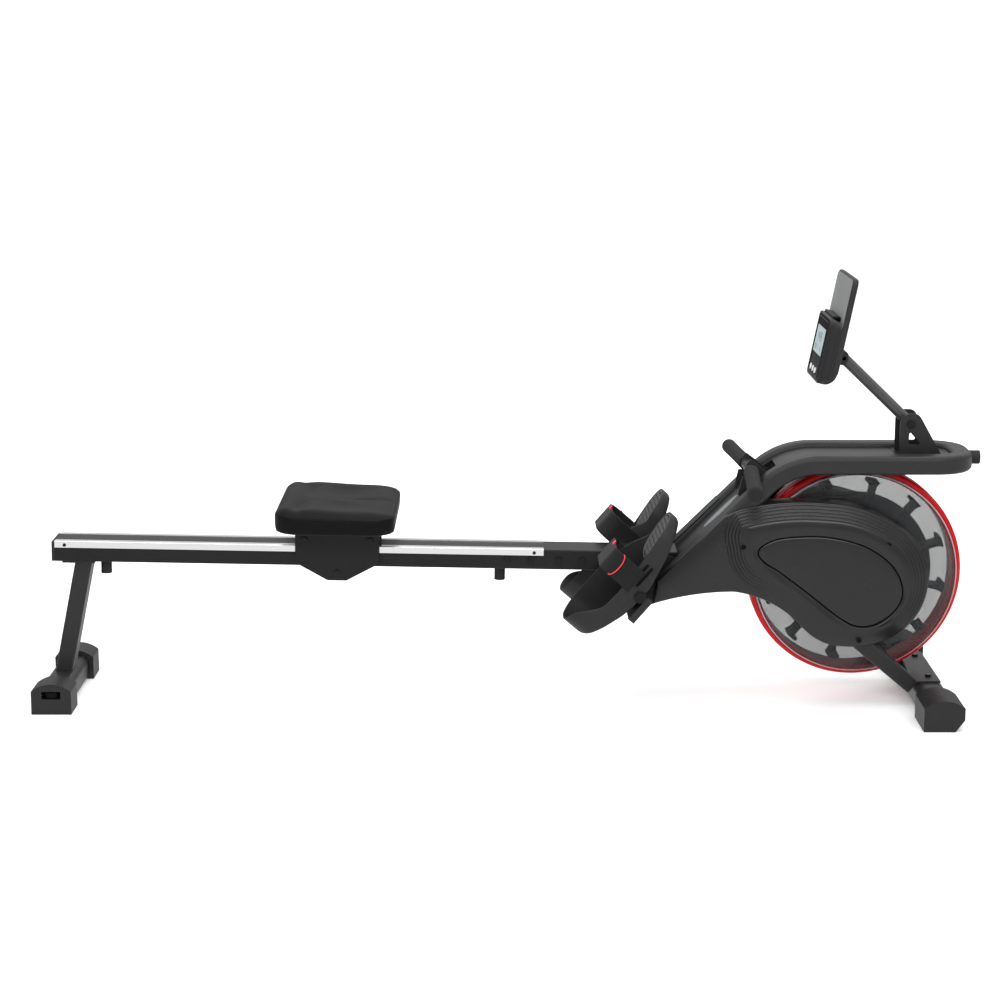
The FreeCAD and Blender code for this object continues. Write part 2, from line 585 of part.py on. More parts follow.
# a thick leg that ends in a hooked foot, longer on one side
vanePoints = [(s.vaneRoot, -vaneSide), (s.fanTip - 12, -vaneSide), (s.fanTip, -vaneSide - 5), (s.fanTip, s.vaneFoot),
              (s.fanTip - 7, s.vaneFoot + 2), (s.fanTip - 8, vaneSide), (s.vaneRoot, vaneSide)]
vaneCorners = [0, 4, 1, 1, 1, 3, 0]
for i in range(vaneCount):
    turn = wheelPlace * at(turn=about(Vector(0, 0, 1), 360.0 * i / vaneCount + s.firstVane))
    vanes.append(pad(f"vane{i}", [loop(vanePoints, vaneCorners)], "2 * fanHalf", turn, True))
hubBore = alongY("hubBore", "axleR + 2", 80.0, s.wheelX, s.wheelZ)
seats = [alongY(f"bearingSeat{sign:+.0f}", "bearingRadius", "bearingWide / 2", s.wheelX, s.wheelZ,
                sign * 22.0) for sign in (-1.0, 1.0)]
keep("fan_wheel", cut("fanWheel", fuse("fanWeld", [fanDisc, hubBody] + vanes), [hubBore] + seats))
bearings = []
for sign in (-1.0, 1.0):
    race = alongY(f"race{sign:+.0f}", "bearingRadius", "bearingWide / 2", s.wheelX, s.wheelZ, sign * 22.0)
    bore = alongY(f"raceBore{sign:+.0f}", "axleR + shaftGap", "bearingWide", s.wheelX, s.wheelZ, sign * 22.0)
    bearings.append(cut(f"bearing{sign:+.0f}", race, [bore]))
keep("fan_bearings", group("fanBearings", bearings))
plateOuter = s.forkInner
axleRod = alongY("axleRod", "axleR", "forkInner + 9", s.wheelX, s.wheelZ)
axleNuts = [pad(f"axleNut{sign:+.0f}", [loop([(10 * math.cos(math.radians(60 * k)),
                                               10 * math.sin(math.radians(60 * k))) for k in range(6)])],
                7.0, at(s.wheelX, sign * plateOuter + (7 if sign > 0 else 0), s.wheelZ, sideView))
            for sign in (-1.0, 1.0)]
bushLong = s.forkInner - s.drivePlate - s.shroudHalf
bush = alongY("axleBush", 13.0, bushLong / 2, s.wheelX, s.wheelZ, s.shroudHalf + bushLong / 2)
keep("wheel_axle", fuse("wheelAxle", [axleRod, bush] + axleNuts))

# Belt drive and strap spool --------------------------------------------------------------
runY = -s.beltY
smallRim = s.smallPulley - s.slideGap
smallBody = alongY("clutchBody", smallRim, "beltWide / 2 + 0.7", s.wheelX, s.wheelZ, runY - 0.1)
smallBore = alongY("clutchBore", "axleR + shaftGap", "beltWide", s.wheelX, s.wheelZ, runY)
keep("clutch_pulley", cut("clutchPulley", smallBody, [smallBore]))


def beltLoop(grow):
    """Open belt outline round the two pulleys, grown outwards by grow."""
    big, small = s.pulleyRadius + grow, s.smallPulley + grow
    span = math.hypot(s.wheelX - s.spoolX, s.wheelZ - s.spoolZ)
    lean = math.acos((big - small) / span)
    heading = math.atan2(s.wheelZ - s.spoolZ, s.wheelX - s.spoolX)

    def point(x, z, radius, angle):
        return Vector(x + radius * math.cos(heading + angle), z + radius * math.sin(heading + angle), 0)

    up, down = (point(s.spoolX, s.spoolZ, big, a) for a in (lean, -lean))
    upTip, downTip = (point(s.wheelX, s.wheelZ, small, a) for a in (lean, -lean))
    return [Part.Arc(up, point(s.spoolX, s.spoolZ, big, math.pi), down), Part.LineSegment(down, downTip),
            Part.Arc(downTip, point(s.wheelX, s.wheelZ, small, 0), upTip), Part.LineSegment(upTip, up)]


keep("drive_belt", pad("driveBelt", [beltLoop(s.beltThick), beltLoop(0.0)], "beltWide",
                       at(0, runY, 0, sideView), True))
spoolPieces = [alongY("spoolCore", "spoolCore", "spoolHalf", s.spoolX, s.spoolZ),
               alongY("spoolWound", "woundRadius", "strapWide / 2", s.spoolX, s.spoolZ),
               alongY("spoolNeck", 20.0, 17.0, s.spoolX, s.spoolZ, -33.0),
               alongY("bigPulley", s.pulleyRadius - s.slideGap, "beltWide / 2 + 1", s.spoolX, s.spoolZ, runY)]
spoolPieces += [alongY(f"spoolRim{sign:+.0f}", "spoolRim", 1.5, s.spoolX, s.spoolZ,
                       sign * (s.spoolHalf - 1.5)) for sign in (-1.0, 1.0)]
spoolBore = alongY("spoolBore", "spoolShaft + shaftGap", 80.0, s.spoolX, s.spoolZ)
keep("strap_spool", cut("strapSpool", fuse("spoolWeld", spoolPieces), [spoolBore]))
keep("spool_shaft", alongY("spoolShaftRod", "spoolShaft", "forkInner - 0.5", s.spoolX, s.spoolZ))
springBox = alongY("springBox", 34.0, 9.0, s.spoolX, s.spoolZ, 32.0)
springBore = alongY("springBore", "spoolShaft + shaftGap", 20.0, s.spoolX, s.spoolZ, 32.0)
keep("recoil_spring", cut("recoilSpring", springBox, [springBore]))

# Handle rest, guide roller, strap and handle ---------------------------------------------
surfaceLine = s.slantOffset + s.coverDrop * root2        # channel cover: z = x - surfaceLine
notch = s.barRadius + s.slideGap


def restWall(side, sign):
    x, z = s.handleX, s.handleZ
    points = [(x + 33, x + 33 - surfaceLine), (s.guideX + 15, s.guideZ + 6), (s.guideX + 6, s.guideZ - 12),
              (s.guideX - 10, s.guideZ - 9), (x + 16, x + 16 - surfaceLine),
              (x - 19, x - 19 - surfaceLine), (x - 25, x - 12 - surfaceLine), (x - 17, z - notch),
              (x + notch, z - notch), (x + notch, z + notch), (x - 11, z + notch), (x - 2, z + 24)]
    wall = pad("restWall" + side, [loop(points, [3, 4, 4, 4, 0, 2, 2, 1, notch, notch, 1, 3])], "restWall",
               at(0, -s.restInside if sign < 0 else s.restInside + s.restWall, 0, sideView))
    return wall


restBase = box("restBase", 36.0, "2 * restInside", 3.0,
               at(s.handleX - 19, -s.restInside, s.handleX - 19 - surfaceLine, about(Vector(0, 1, 0), -45)))
guideHole = alongY("guideHole", "guidePin + shaftGap", 60.0, s.guideX, s.guideZ)
keep("handle_rest", cut("handleRest", fuse("restWeld", sides(restWall) + [restBase]), [guideHole]))
guideBody = alongY("guideBody", "guideRadius", "strapWide / 2 + 3", s.guideX, s.guideZ)
guideRod = alongY("guideRod", "guidePin", "restInside + restWall", s.guideX, s.guideZ)
keep("guide_roller", fuse("guideRoller", [guideBody, guideRod]))


def armPoint(sign, y):
    """Point of an arm's centre line at this distance from the middle; the arms sweep back a little."""
    share = (y - s.gripStart) / (s.handleHalf - s.gripStart)
    return Vector(s.handleX - s.handleBack * share, sign * y, s.handleZ - s.handleDrop * share)


def rod(name, a, b, radius):
    """Round bar between two points."""
    turn = Rotation(Vector(0, 0, 1), b - a)
    return cylinder(name, radius, (b - a).Length, Placement(a, turn))


barEnd = s.handleHalf - 12.0
kneeReachBar = 8.0


def kneeEdges(sign):
    """Straight arm and the gentle bend that joins it to the middle, from the outer end inwards."""
    knee = armPoint(sign, s.gripStart)
    outwardStep = (armPoint(sign, barEnd) - knee).normalize() * kneeReachBar
    inwardStep = Vector(0, -sign * kneeReachBar, 0)
    middle = knee + (outwardStep + inwardStep) * 0.25
    return [Part.LineSegment(armPoint(sign, barEnd), knee + outwardStep),
            Part.Arc(knee + outwardStep, middle, knee + inwardStep)]


rightArm, leftArm = kneeEdges(-1.0), kneeEdges(1.0)
barLine = Part.Wire([edge.toShape() for edge in rightArm]
                    + [Part.LineSegment(rightArm[1].EndPoint, leftArm[1].EndPoint).toShape()]
                    + [edge.toShape() for edge in reversed(leftArm)])
barStart = armPoint(-1.0, barEnd)
barTurn = Rotation(Vector(0, 0, 1), armPoint(-1.0, s.gripStart) - barStart)
barCircle = Part.Wire([Part.Circle(Vector(), Vector(0, 0, 1), s.barRadius).toShape()])
barCircle.Placement = Placement(barStart, barTurn)
barSweep = doc.addObject("Part::Feature", "barSweep")
barSweep.Shape = barLine.makePipeShell([barCircle], True, True)
hook = box("strapHook", 14.0, 32.0, 11.0, at(s.handleX + 7, -16, s.handleZ - 12.5))
hookSlot = box("strapSlot", 7.0, "strapWide + 1", 4.4,
               at(s.handleX + 15, -s.strapWide / 2 - 0.5, s.handleZ - 9.8))
keep("handlebar", cut("handleBar", fuse("barWeld", [barSweep, hook]), [hookSlot]))


def grip(side, sign):
    """Foam sleeve over one arm, closed and rounded at its outer end."""
    a, b = armPoint(sign, s.gripStart + 1), armPoint(sign, s.handleHalf - 7.0)
    sleeve = rod("gripRod" + side, a, b, "gripRadius")
    cap = doc.addObject("Part::Cone", "gripCap" + side)
    bind(cap, "Radius1", "gripRadius")
    bind(cap, "Radius2", "gripRadius - 6")
    bind(cap, "Height", 7.0)
    cap.Placement = Placement(b, Rotation(Vector(0, 0, 1), b - a))
    return keep("grip_" + side, cut("grip" + side, fuse("gripSleeve" + side, [sleeve, cap]), [barSweep]))


sides(grip)
half = s.strapThick / 2
strapTopR = s.guideRadius + s.slideGap + half
guide, spool = Vector(s.guideX, s.guideZ, 0), Vector(s.spoolX, s.spoolZ, 0)
spoolR = s.woundRadius + s.slideGap + half
down = spool - guide
lean = math.acos((strapTopR - spoolR) / down.Length)
heading = math.atan2(down.y, down.x)
sideOut = Vector(math.cos(heading + lean), math.sin(heading + lean), 0)


def leadEdge(grow):
    """Edge of the strap grown by grow: roller top, arc middle, arc end, then the spool tangent."""
    radius = strapTopR + grow
    middle = (Vector(0, 1, 0) + sideOut).normalize()
    return [guide + Vector(0, radius, 0), guide + middle * radius, guide + sideOut * radius,
            spool + sideOut * (spoolR + grow)]


topPoint = guide + Vector(0, strapTopR, 0)
far, near = leadEdge(half), leadEdge(-half)
leadOutline = [Part.Arc(far[0], far[1], far[2]), Part.LineSegment(far[2], far[3]),
               Part.LineSegment(far[3], near[3]), Part.LineSegment(near[3], near[2]),
               Part.Arc(near[2], near[1], near[0]), Part.LineSegment(near[0], far[0])]
keep("strap_lead", pad("strapLead", [leadOutline], "strapWide", at(turn=sideView), True))
hookMouth = Vector(s.handleX + 15.3, s.handleZ - 6.8, 0)
strapEnd = topPoint - Vector(0.3, 0, 0)
across = (strapEnd - hookMouth).cross(Vector(0, 0, 1)).normalize() * half
flatStrap = [hookMouth - across, strapEnd - across, strapEnd + across, hookMouth + across]
keep("pull_strap", pad("pullStrap", [loop([(p.x, p.y) for p in flatStrap])], "strapWide",
                       at(turn=sideView), True))

# Channel cover between the slanted tubes -------------------------------------------------
outerR = s.bendRadius + s.tubeHigh / 2 - s.coverDrop
innerR = outerR - s.coverWall
coverEndX = s.pivotX - 29.0
coverStartX = 345.0


def coverEdge(radius):
    """Points of the cover's surface at this bend radius: slant end, knee arc, level end."""
    rise = radius - s.bendRadius
    kneeIn = Vector(kneeMidX - radius / root2, kneeMidZ + radius / root2)
    kneeMid = Vector(kneeMidX - radius * math.sin(math.radians(22.5)),
                     kneeMidZ + radius * math.cos(math.radians(22.5)))
    kneeOut = Vector(kneeMidX, levelZ + rise)
    startDrop = (outerR - radius) / root2
    start = Vector(coverStartX + startDrop, coverStartX - surfaceLine - startDrop)
    return start, kneeIn, kneeMid, kneeOut, Vector(coverEndX, levelZ + rise)


a, b = coverEdge(outerR), coverEdge(innerR)
skin = [Part.LineSegment(a[0], a[1]), Part.Arc(a[1], a[2], a[3]), Part.LineSegment(a[3], a[4]),
        Part.LineSegment(a[4], b[4]), Part.LineSegment(b[4], b[3]), Part.Arc(b[3], b[2], b[1]),
        Part.LineSegment(b[1], b[0]), Part.LineSegment(b[0], a[0])]
channelHalf = s.tubeY - s.tubeWide / 2 - s.slideGap
channel = pad("channel", [skin], 2 * channelHalf, at(turn=sideView), True)
slotStart = s.handleX + 14
opening = box("channelSlot", 66.0, "2 * (restInside + restWall + 1)", 60.0,
              at(slotStart, -s.restInside - s.restWall - 1, slotStart - surfaceLine - 30))
keep("channel_cover", cut("channelCover", channel, [opening]))

# Side covers: outline of eight arcs and two lines, with a raised dome ---------------------
coverArcs = [((295, 214), (372, 232), (452, 238)), ((452, 238), (528, 214), (588, 168)),
             ((588, 168), (611, 146), (643, 130)), ((643, 130), (697, 124), (751, 135)),
             ((751, 135), (841, 250), (778, 375)), ((778, 375), (706, 408), (634, 420)),
             ((634, 420), (563, 422), (492, 414)), ((492, 414), (462, 407), (430, 392))]
domeArcs = [((560, 404), (655, 402), (750, 356)), ((750, 356), (821, 248), (742, 150)),
            ((742, 150), (662, 150), (600, 206)), ((600, 206), (556, 243), (510, 262)),
            ((510, 262), (484, 330), (504, 396)), ((504, 396), (532, 403), (560, 404))]
coverScrews = [(467.7, 333.0), coverBoss, (704.0, 135.0)]


def arcs(points):
    return [Part.Arc(*(Vector(x, z, 0) for x, z in triple)) for triple in points]


coverOutline = arcs(coverArcs) + [Part.LineSegment(Vector(430, 392, 0), Vector(298, 260, 0)),
                                  Part.LineSegment(Vector(298, 260, 0), Vector(295, 214, 0))]


def sideCover(side, sign):
    name = "sideCover" + side
    deep = s.coverFace - s.coverInner
    shell = pad(name + "Shell", [coverOutline], deep,
                at(0, -s.coverInner if sign < 0 else s.coverFace, 0, sideView))
    inside = doc.addObject("Part::Feature", name + "Inside")
    face = Part.Face(Part.Wire([edge.toShape() for edge in coverOutline]))
    inside.Shape = face.makeOffset2D(-s.coverThick).extrude(Vector(0, 0, deep))
    inside.Placement = at(0, -s.coverInner + s.coverThick if sign < 0 else s.coverFace - s.coverThick, 0,
                          sideView)
    dome = pad(name + "Dome", [arcs(domeArcs)], "domeHigh",
               at(0, -s.coverFace if sign < 0 else s.coverFace + s.domeHigh, 0, sideView))
    hollow = doc.addObject("Part::Feature", name + "Hollow")
    domeFace = Part.Face(Part.Wire([edge.toShape() for edge in arcs(domeArcs)]))
    hollow.Shape = domeFace.makeOffset2D(-s.coverThick).extrude(Vector(0, 0, s.domeHigh))
    hollow.Placement = at(0, -s.coverFace + s.coverThick if sign < 0
                          else s.coverFace + s.domeHigh - s.coverThick, 0, sideView)
    bosses = []
    for i, (x, z) in enumerate(coverScrews):
        back = s.forkInner if i == 1 else s.forkInner + s.forkWide
        long = s.coverFace + s.domeHigh - back if i == 1 else s.coverFace - back
        bosses.append(alongY(f"{name}Boss{i}", 7.0, long / 2, x, z, sign * (back + long / 2)))
    tubeGap = box(name + "Tube", 700.0, s.tubeWide + 0.8, s.tubeHigh + 1.2,
                  Placement(Vector(s.slantStartX, sign * s.tubeY - s.tubeWide / 2 - 0.4,
                                   s.slantStartX - slantLine)
                            - Vector(1, 0, 1) * 60 - Vector(-1, 0, 1) * ((s.tubeHigh / 2 + 0.6) / root2),
                            about(Vector(0, 1, 0), -45)))
    forkGap = box(name + "Fork", 560.0, s.forkWide + 0.8, s.forkHigh + 0.8,
                  Placement(forkFoot + Vector(0, sign * (s.forkInner + s.forkWide / 2) - s.forkWide / 2 - 0.4, 0)
                            + forkBack * 500 - forkTurn.multVec(Vector(0, 0, 1)) * (s.forkHigh / 2 + 0.4),
                            forkTurn))
    holes = [alongY(f"{name}Hole{i}", screwHole, 60.0, x, z, sign * (s.coverFace + 40))
             for i, (x, z) in enumerate(coverScrews)]
    walls = cut(name + "Walls", fuse(name + "Out", [shell, dome]), [inside, hollow, tubeGap, forkGap])
    return keep("side_cover_" + side, cut(name, fuse(name + "Bossed", [walls] + bosses), holes))


sides(sideCover)

# Pedals: local frame with x along the sole towards the toe and z off the sole -------------
pedalFrame = at(s.pedalHeelX, 0, s.pedalHeelZ, about(Vector(0, 1, 0), -s.pedalAngle))
underPoints = [(0, 0), (78, -24), (110, -26), (150, -26), (170, -22), (230, -8), (281, 12), (286, 34)]
outerRim = [(190, 22), (120, 17), (65, 17), (40, 30), (14, 52), (-8, 56)]
innerRim = [(224, 25), (190, 42), (130, s.innerWall), (14, s.innerWall), (-8, 56)]
underCorners, outerCorners, innerCorners = [6, 20, 6, 6, 8, 30, 6, 6], [20, 20, 12, 12, 8, 4], [20, 20, 20, 8, 4]
bedPoints = [(-20, 80), (-20, 40), (8, 6), (60, -10), (150, -8), (186, 14), (192, 20.5), (300, 34), (300, 80)]
pedalMidY = s.pedalInner + s.pedalWide / 2


def pedalPlan(grow):
    """Plan of the foot tray: broad round heel and round toe."""
    half, back, front = s.pedalWide / 2 + grow, -12 - grow, s.pedalLong + 3 + grow
    return loop([(back, -half), (front, -half), (front, half), (back, half)],
                [46 + grow, 50 + grow, 50 + grow, 46 + grow])


def footplate(side, sign):
    """Foot tray: its outer wall dips beside the foot, its inner wall stays high up to the strap."""
    name = "pedal" + side
    place = pedalFrame * at(0, sign * pedalMidY, -60)
    plan = pad(name + "Plan", [pedalPlan(0.0)], 160.0, place)
    low = pad(name + "Low", [loop(underPoints + outerRim, underCorners + outerCorners)],
              2 * s.pedalWide, pedalFrame * at(0, sign * pedalMidY, 0, sideView), True)
    high = pad(name + "High", [loop(underPoints + innerRim, underCorners + innerCorners)], s.pedalWide,
               pedalFrame * at(0, pedalMidY if sign > 0 else s.pedalWide - pedalMidY, 0, sideView))
    tray = doc.addObject("Part::Common", name + "Tray")
    tray.Base, tray.Tool = plan, fuse(name + "Sides", [low, high])
    hollowPlan = pad(name + "HollowPlan", [pedalPlan(-s.pedalWall)], 160.0, place)
    hollowSide = pad(name + "HollowSide", [loop(bedPoints, [0, 10, 14, 20, 20, 3, 3, 0, 0])],
                     2 * s.pedalWide, pedalFrame * at(0, sign * pedalMidY, 0, sideView), True)
    hollow = doc.addObject("Part::Common", name + "Hollow")
    hollow.Base, hollow.Tool = hollowPlan, hollowSide
    bore = alongY(name + "Bore", "pedalShaft + shaftGap", "pedalWide", s.pedalPivotU, s.pedalPivotN,
                  sign * pedalMidY, pedalFrame)
    boss = alongY(name + "Boss", "pedalShaft + pedalWall", "pedalWide / 2", s.pedalPivotU, s.pedalPivotN,
                  sign * pedalMidY, pedalFrame)
    return keep("footplate_" + side, cut(name, fuse(name + "Solid", [tray, boss]), [hollow, bore]))


def footStrap(side, sign):
    """Arched band over the foot, fixed outside both side walls of the tray."""
    out, thick = s.pedalWide / 2 + s.bandGap, s.bandThick
    start, rise = (s.rightStrapU, s.rightStrapRise) if sign < 0 else (s.leftStrapU, s.leftStrapRise)
    corner = rise - thick - s.innerWall    # the bend starts above the inner wall

    def arch(grow):
        half, top = out + grow, rise - thick + grow
        return loop([(-half, 4), (half, 4), (half, top), (-half, top)], [0, 0, corner + grow, corner + grow])

    outer, inner = arch(thick), arch(0.0)
    place = pedalFrame * at(start, sign * pedalMidY, 0, endView)
    base = pad("strapOuter" + side, [outer], "strapLong", place)
    void = box("strapVoid" + side, s.strapLong + 2, 2 * out, 40.0,
               pedalFrame * at(start - 1, sign * pedalMidY - out, -20))
    inside = pad("strapInner" + side, [inner], s.strapLong + 2,
                 pedalFrame * at(start - 1, sign * pedalMidY, 0, endView))
    return keep("foot_strap_" + side, cut("footStrap" + side, base, [inside, void]))


sides(footplate)
sides(footStrap)
crossN = s.pedalPivotN - s.pedalShaft - s.pedalWall - s.crossGap - s.crossThick
crossBar = box("crossBar", "crossWide", "2 * crossHalf", "crossThick",
               pedalFrame * at(s.pedalPivotU - 50, -s.crossHalf, crossN))
pedalRod = alongY("pedalRod", "pedalShaft", s.pedalInner + s.pedalWide + 2, s.pedalPivotU, s.pedalPivotN, 0,
                  pedalFrame)
hangerPoints = [(236, 204), (262, 190), (330, 244), (346, 262), (346, 288), (330, 298), (240, 298)]


def hanger(side, sign):
    start = -s.railWidth / 2 if sign < 0 else s.railWidth / 2 + 6
    plate = pad("hanger" + side, [loop(hangerPoints, 6)], 6.0, at(0, start, 0, sideView))
    blockWide = s.tubeY - s.tubeWide / 2 - s.railWidth / 2 - 6
    block = pad("hangerBlock" + side, [loop([(316, 248), (344, 262), (344, 284), (322, 276)], 3)], blockWide,
                at(0, -s.railWidth / 2 - 6 if sign < 0 else s.railWidth / 2 + 6 + blockWide, 0, sideView))
    return [plate, block]


carrierSolids = [solid for pair in sides(hanger) for solid in pair]
keep("pedal_carrier", fuse("pedalCarrier", carrierSolids + [crossBar, pedalRod]))

# Console bracket, mast and console -------------------------------------------------------
bracketFloor = levelZ + s.tubeHigh / 2 - s.coverDrop - 5.0
bowInside = s.bowRadius - s.tubeWide / 2
bracketHalf = s.tubeY - s.tubeWide / 2
bracketBack, bracketFront = s.pivotX - 28, s.bowX - s.tubeWide / 2
bracketPlan = loop([(bracketBack, -bracketHalf), (bracketFront, -bracketHalf), (bracketFront, bracketHalf),
                    (bracketBack, bracketHalf)], [0, bowInside, bowInside, 0])
bracketPlate = pad("bracketPlate", [bracketPlan], 5.0, at(0, 0, bracketFloor))
earPoints = [(s.pivotX - 22, bracketFloor + 2), (s.pivotX - 22, s.pivotZ + 21), (s.pivotX + 15, s.pivotZ + 21),
             (s.pivotX + 65, bracketFloor + 2)]
earHole = [(s.pivotX - 4, s.pivotZ - 42), (s.pivotX + 23, s.pivotZ - 42), (s.pivotX - 3, s.pivotZ - 13)]


def ear(side, sign):
    return pad("ear" + side, [loop(earPoints, [0, 20, 16, 0]), loop(earHole, 3),
                              circle(s.pivotX, s.pivotZ, s.pivotPin + s.shaftGap)], "earThick",
               at(0, -s.earInside if sign < 0 else s.earInside + s.earThick, 0, sideView))


keep("console_bracket", fuse("consoleBracket", [bracketPlate] + sides(ear)))
lift = math.radians(s.mastAngle)
mastTop = Vector(s.pivotX - s.mastLength * math.cos(lift), 0, s.pivotZ + s.mastLength * math.sin(lift))
mastTube = rod("mastTube", Vector(s.pivotX, 0, s.pivotZ), mastTop, "mastRadius")
mastBase = alongY("mastBase", "mastKnuckle", "earInside - slideGap", s.pivotX, s.pivotZ)
mastHead = alongY("mastHead", "mastRadius", 12.0, mastTop.x, mastTop.z)
mastHollow = cylinder("mastHollow", "mastRadius - 2", s.mastLength - s.mastKnuckle - s.mastRadius - 6,
                      Placement(mastTube.Placement.multVec(Vector(0, 0, s.mastKnuckle + 3)),
                                mastTube.Placement.Rotation))
mastBores = [mastHollow,
             alongY("mastBoreLow", "pivotPin + shaftGap", 40.0, s.pivotX, s.pivotZ),
             alongY("mastBoreTop", "hingePin + shaftGap", 20.0, mastTop.x, mastTop.z)]
keep("mast", cut("consoleMast", fuse("mastWeld", [mastTube, mastBase, mastHead]), mastBores))
consoleFrame = at(s.faceX, 0, s.faceZ, about(Vector(0, 1, 0), s.faceTilt))
local = consoleFrame.inverse().multVec(mastTop)
front = pad("consoleFront", [rectangle(s.consoleWide, s.consoleHigh, 9, 0, s.consoleHigh / 2)], "consoleDeep",
            consoleFrame * at(turn=endView))
screenMidZ = (s.screenLow + s.screenTop) / 2
screenRect = (s.screenWide, s.screenTop - s.screenLow, 2.0, 0, screenMidZ)
screenCut = pad("screenCut", [rectangle(*screenRect)], "screenThick", consoleFrame * at(0, 0, 0, endView))
buttonWells = [cylinder(f"buttonWell{i}", "buttonRadius + slideGap", 9.0,
                        consoleFrame * at(0, y, s.buttonZ, about(Vector(0, 1, 0), 90)))
               for i, y in enumerate((-s.buttonPitch, 0.0, s.buttonPitch))]
keep("console_body", cut("consoleBody", front, [screenCut] + buttonWells))
keep("console_screen", pad("consoleScreen", [rectangle(*screenRect)], "screenThick",
                           consoleFrame * at(0, 0, 0, endView)))
for node, y in (("button_right", -s.buttonPitch), ("button_middle", 0.0), ("button_left", s.buttonPitch)):
    keep(node, cylinder(node + "Cap", "buttonRadius", 8.0,
                        consoleFrame * at(-1.6, y, s.buttonZ, about(Vector(0, 1, 0), 90))))
tablet = pad("tabletPlate", [rectangle(s.tabletWide, s.tabletHigh, 14, 0, s.tabletHigh / 2)], "tabletThick",
             consoleFrame * at(s.consoleDeep, 0, 0, endView))
back = s.consoleDeep + s.tabletThick
hingeEar = [(back - 1, local.z - 17), (local.x + 9, local.z - 11), (local.x + 9, local.z + 11),
            (back - 1, local.z + 17)]
hingeEars = [pad(f"hingeEar{sign:+.0f}", [loop(hingeEar, [0, 8, 8, 0])], 5.0,
                 consoleFrame * at(0, -12.3 if sign < 0 else 17.3, 0, sideView)) for sign in (-1.0, 1.0)]
hingeRod = alongY("hingeRod", "hingePin", 17.3, mastTop.x, mastTop.z)
keep("tablet_rest", fuse("tabletRest", [tablet, hingeRod] + hingeEars))


# Fasteners -------------------------------------------------------------------------------
def hexHead(name, place):
    corners = [(boltHead * math.cos(math.radians(60 * k)), boltHead * math.sin(math.radians(60 * k)))
               for k in range(6)]
    return pad(name, [loop(corners)], boltHeadHigh, place)


def bolt(name, place, shank, radius=boltRadius):
    """Hex bolt: its head starts at place and rises along z, its shank goes the other way."""
    stem = cylinder(name + "Shank", radius, shank + 0.5, place * at(0, 0, -shank))
    return fuse(name, [hexHead(name + "Head", place), stem])


def screw(name, place, shank):
    """Small round-headed screw, head rising along z."""
    head = cylinder(name + "Head", screwHead, screwHeadHigh, place)
    stem = cylinder(name + "Shank", screwRadius, shank + 0.5, place * at(0, 0, -shank))
    return fuse(name, [head, stem])


outward = {-1.0: sideView, 1.0: Rotation(Vector(1, 0, 0), Vector(0, 0, -1), Vector(0, 1, 0))}
fasteners = []
for sign in (-1.0, 1.0):
    tag = f"{sign:+.0f}"
    for i, x in enumerate(spliceBolts):
        place = railFrame * at(x, sign * s.railWidth / 2, railMid, outward[sign])
        fasteners.append(bolt(f"splice{i}{tag}", place, s.railWall + s.spigotWall + 3))
    for i, x in enumerate(stripScrews):
        place = railFrame * at(x, sign * (s.railWidth / 2 + s.stripThick), screwZ, outward[sign])
        fasteners.append(screw(f"stripScrew{i}{tag}", place, s.stripThick + s.railWall))
    fasteners.append(bolt("footBolt" + tag, at(footBoltX, sign * s.footBoltY, stabEnd + s.footPlateThick), 14.0))
    shaftEnd = s.pedalInner + s.pedalWide + 2
    place = pedalFrame * at(s.pedalPivotU, sign * shaftEnd, s.pedalPivotN, outward[sign])
    fasteners.append(pad("pedalNut" + tag, [loop([(11 * math.cos(math.radians(60 * k)),
                                                   11 * math.sin(math.radians(60 * k))) for k in range(6)])],
                         6.0, place))
    for i, (x, z) in enumerate(coverScrews):
        y = s.coverFace + (s.domeHigh if i == 1 else 0.0)
        fasteners.append(screw(f"coverScrew{i}{tag}", at(x, sign * y, z, outward[sign]), 3.5))
    fasteners.append(screw("legScrew" + tag, Placement(legFoot + legUp * 26 + Vector(0, sign * 12, 0)
                                                       - Vector(math.cos(leg), 0, -math.sin(leg))
                                                       * (s.legDepth / 2),
                                                       about(Vector(0, 1, 0), s.legLean - 90)), 0.0))
fasteners.append(fuse("pivotBolt", [alongY("pivotRod", "pivotPin", "earInside + earThick", s.pivotX, s.pivotZ),
                                    alongY("pivotHeadR", 8.0, 2.5, s.pivotX, s.pivotZ,
                                           -s.earInside - s.earThick - 2.5),
                                    alongY("pivotHeadL", 8.0, 2.5, s.pivotX, s.pivotZ,
                                           s.earInside + s.earThick + 2.5)]))
keep("fasteners", group("fastenerGroup", fasteners))

# Check and write -------------------------------------------------------------------------
doc.recompute()
failed = [item.Name for item in doc.Objects if {"Invalid", "Error"} & set(item.State)]
if failed:
    raise RuntimeError("objects failed: " + ", ".join(failed))
for node, item in nodes.items():
    if item.Shape.isNull() or not item.Shape.isValid():
        raise RuntimeError("bad shape: " + node)
os.makedirs("parts", exist_ok=True)
whole = FreeCAD.BoundBox()
for node, item in nodes.items():
    item.Shape.exportStep(f"parts/{node}.step")
    whole.add(item.Shape.BoundBox)
    solids = item.Shape.Solids
    print(f"{node:24s} {len(solids):3d} solids {item.Shape.Volume / 1000:9.2f} cm3")
print(len(nodes), "nodes; box", whole)
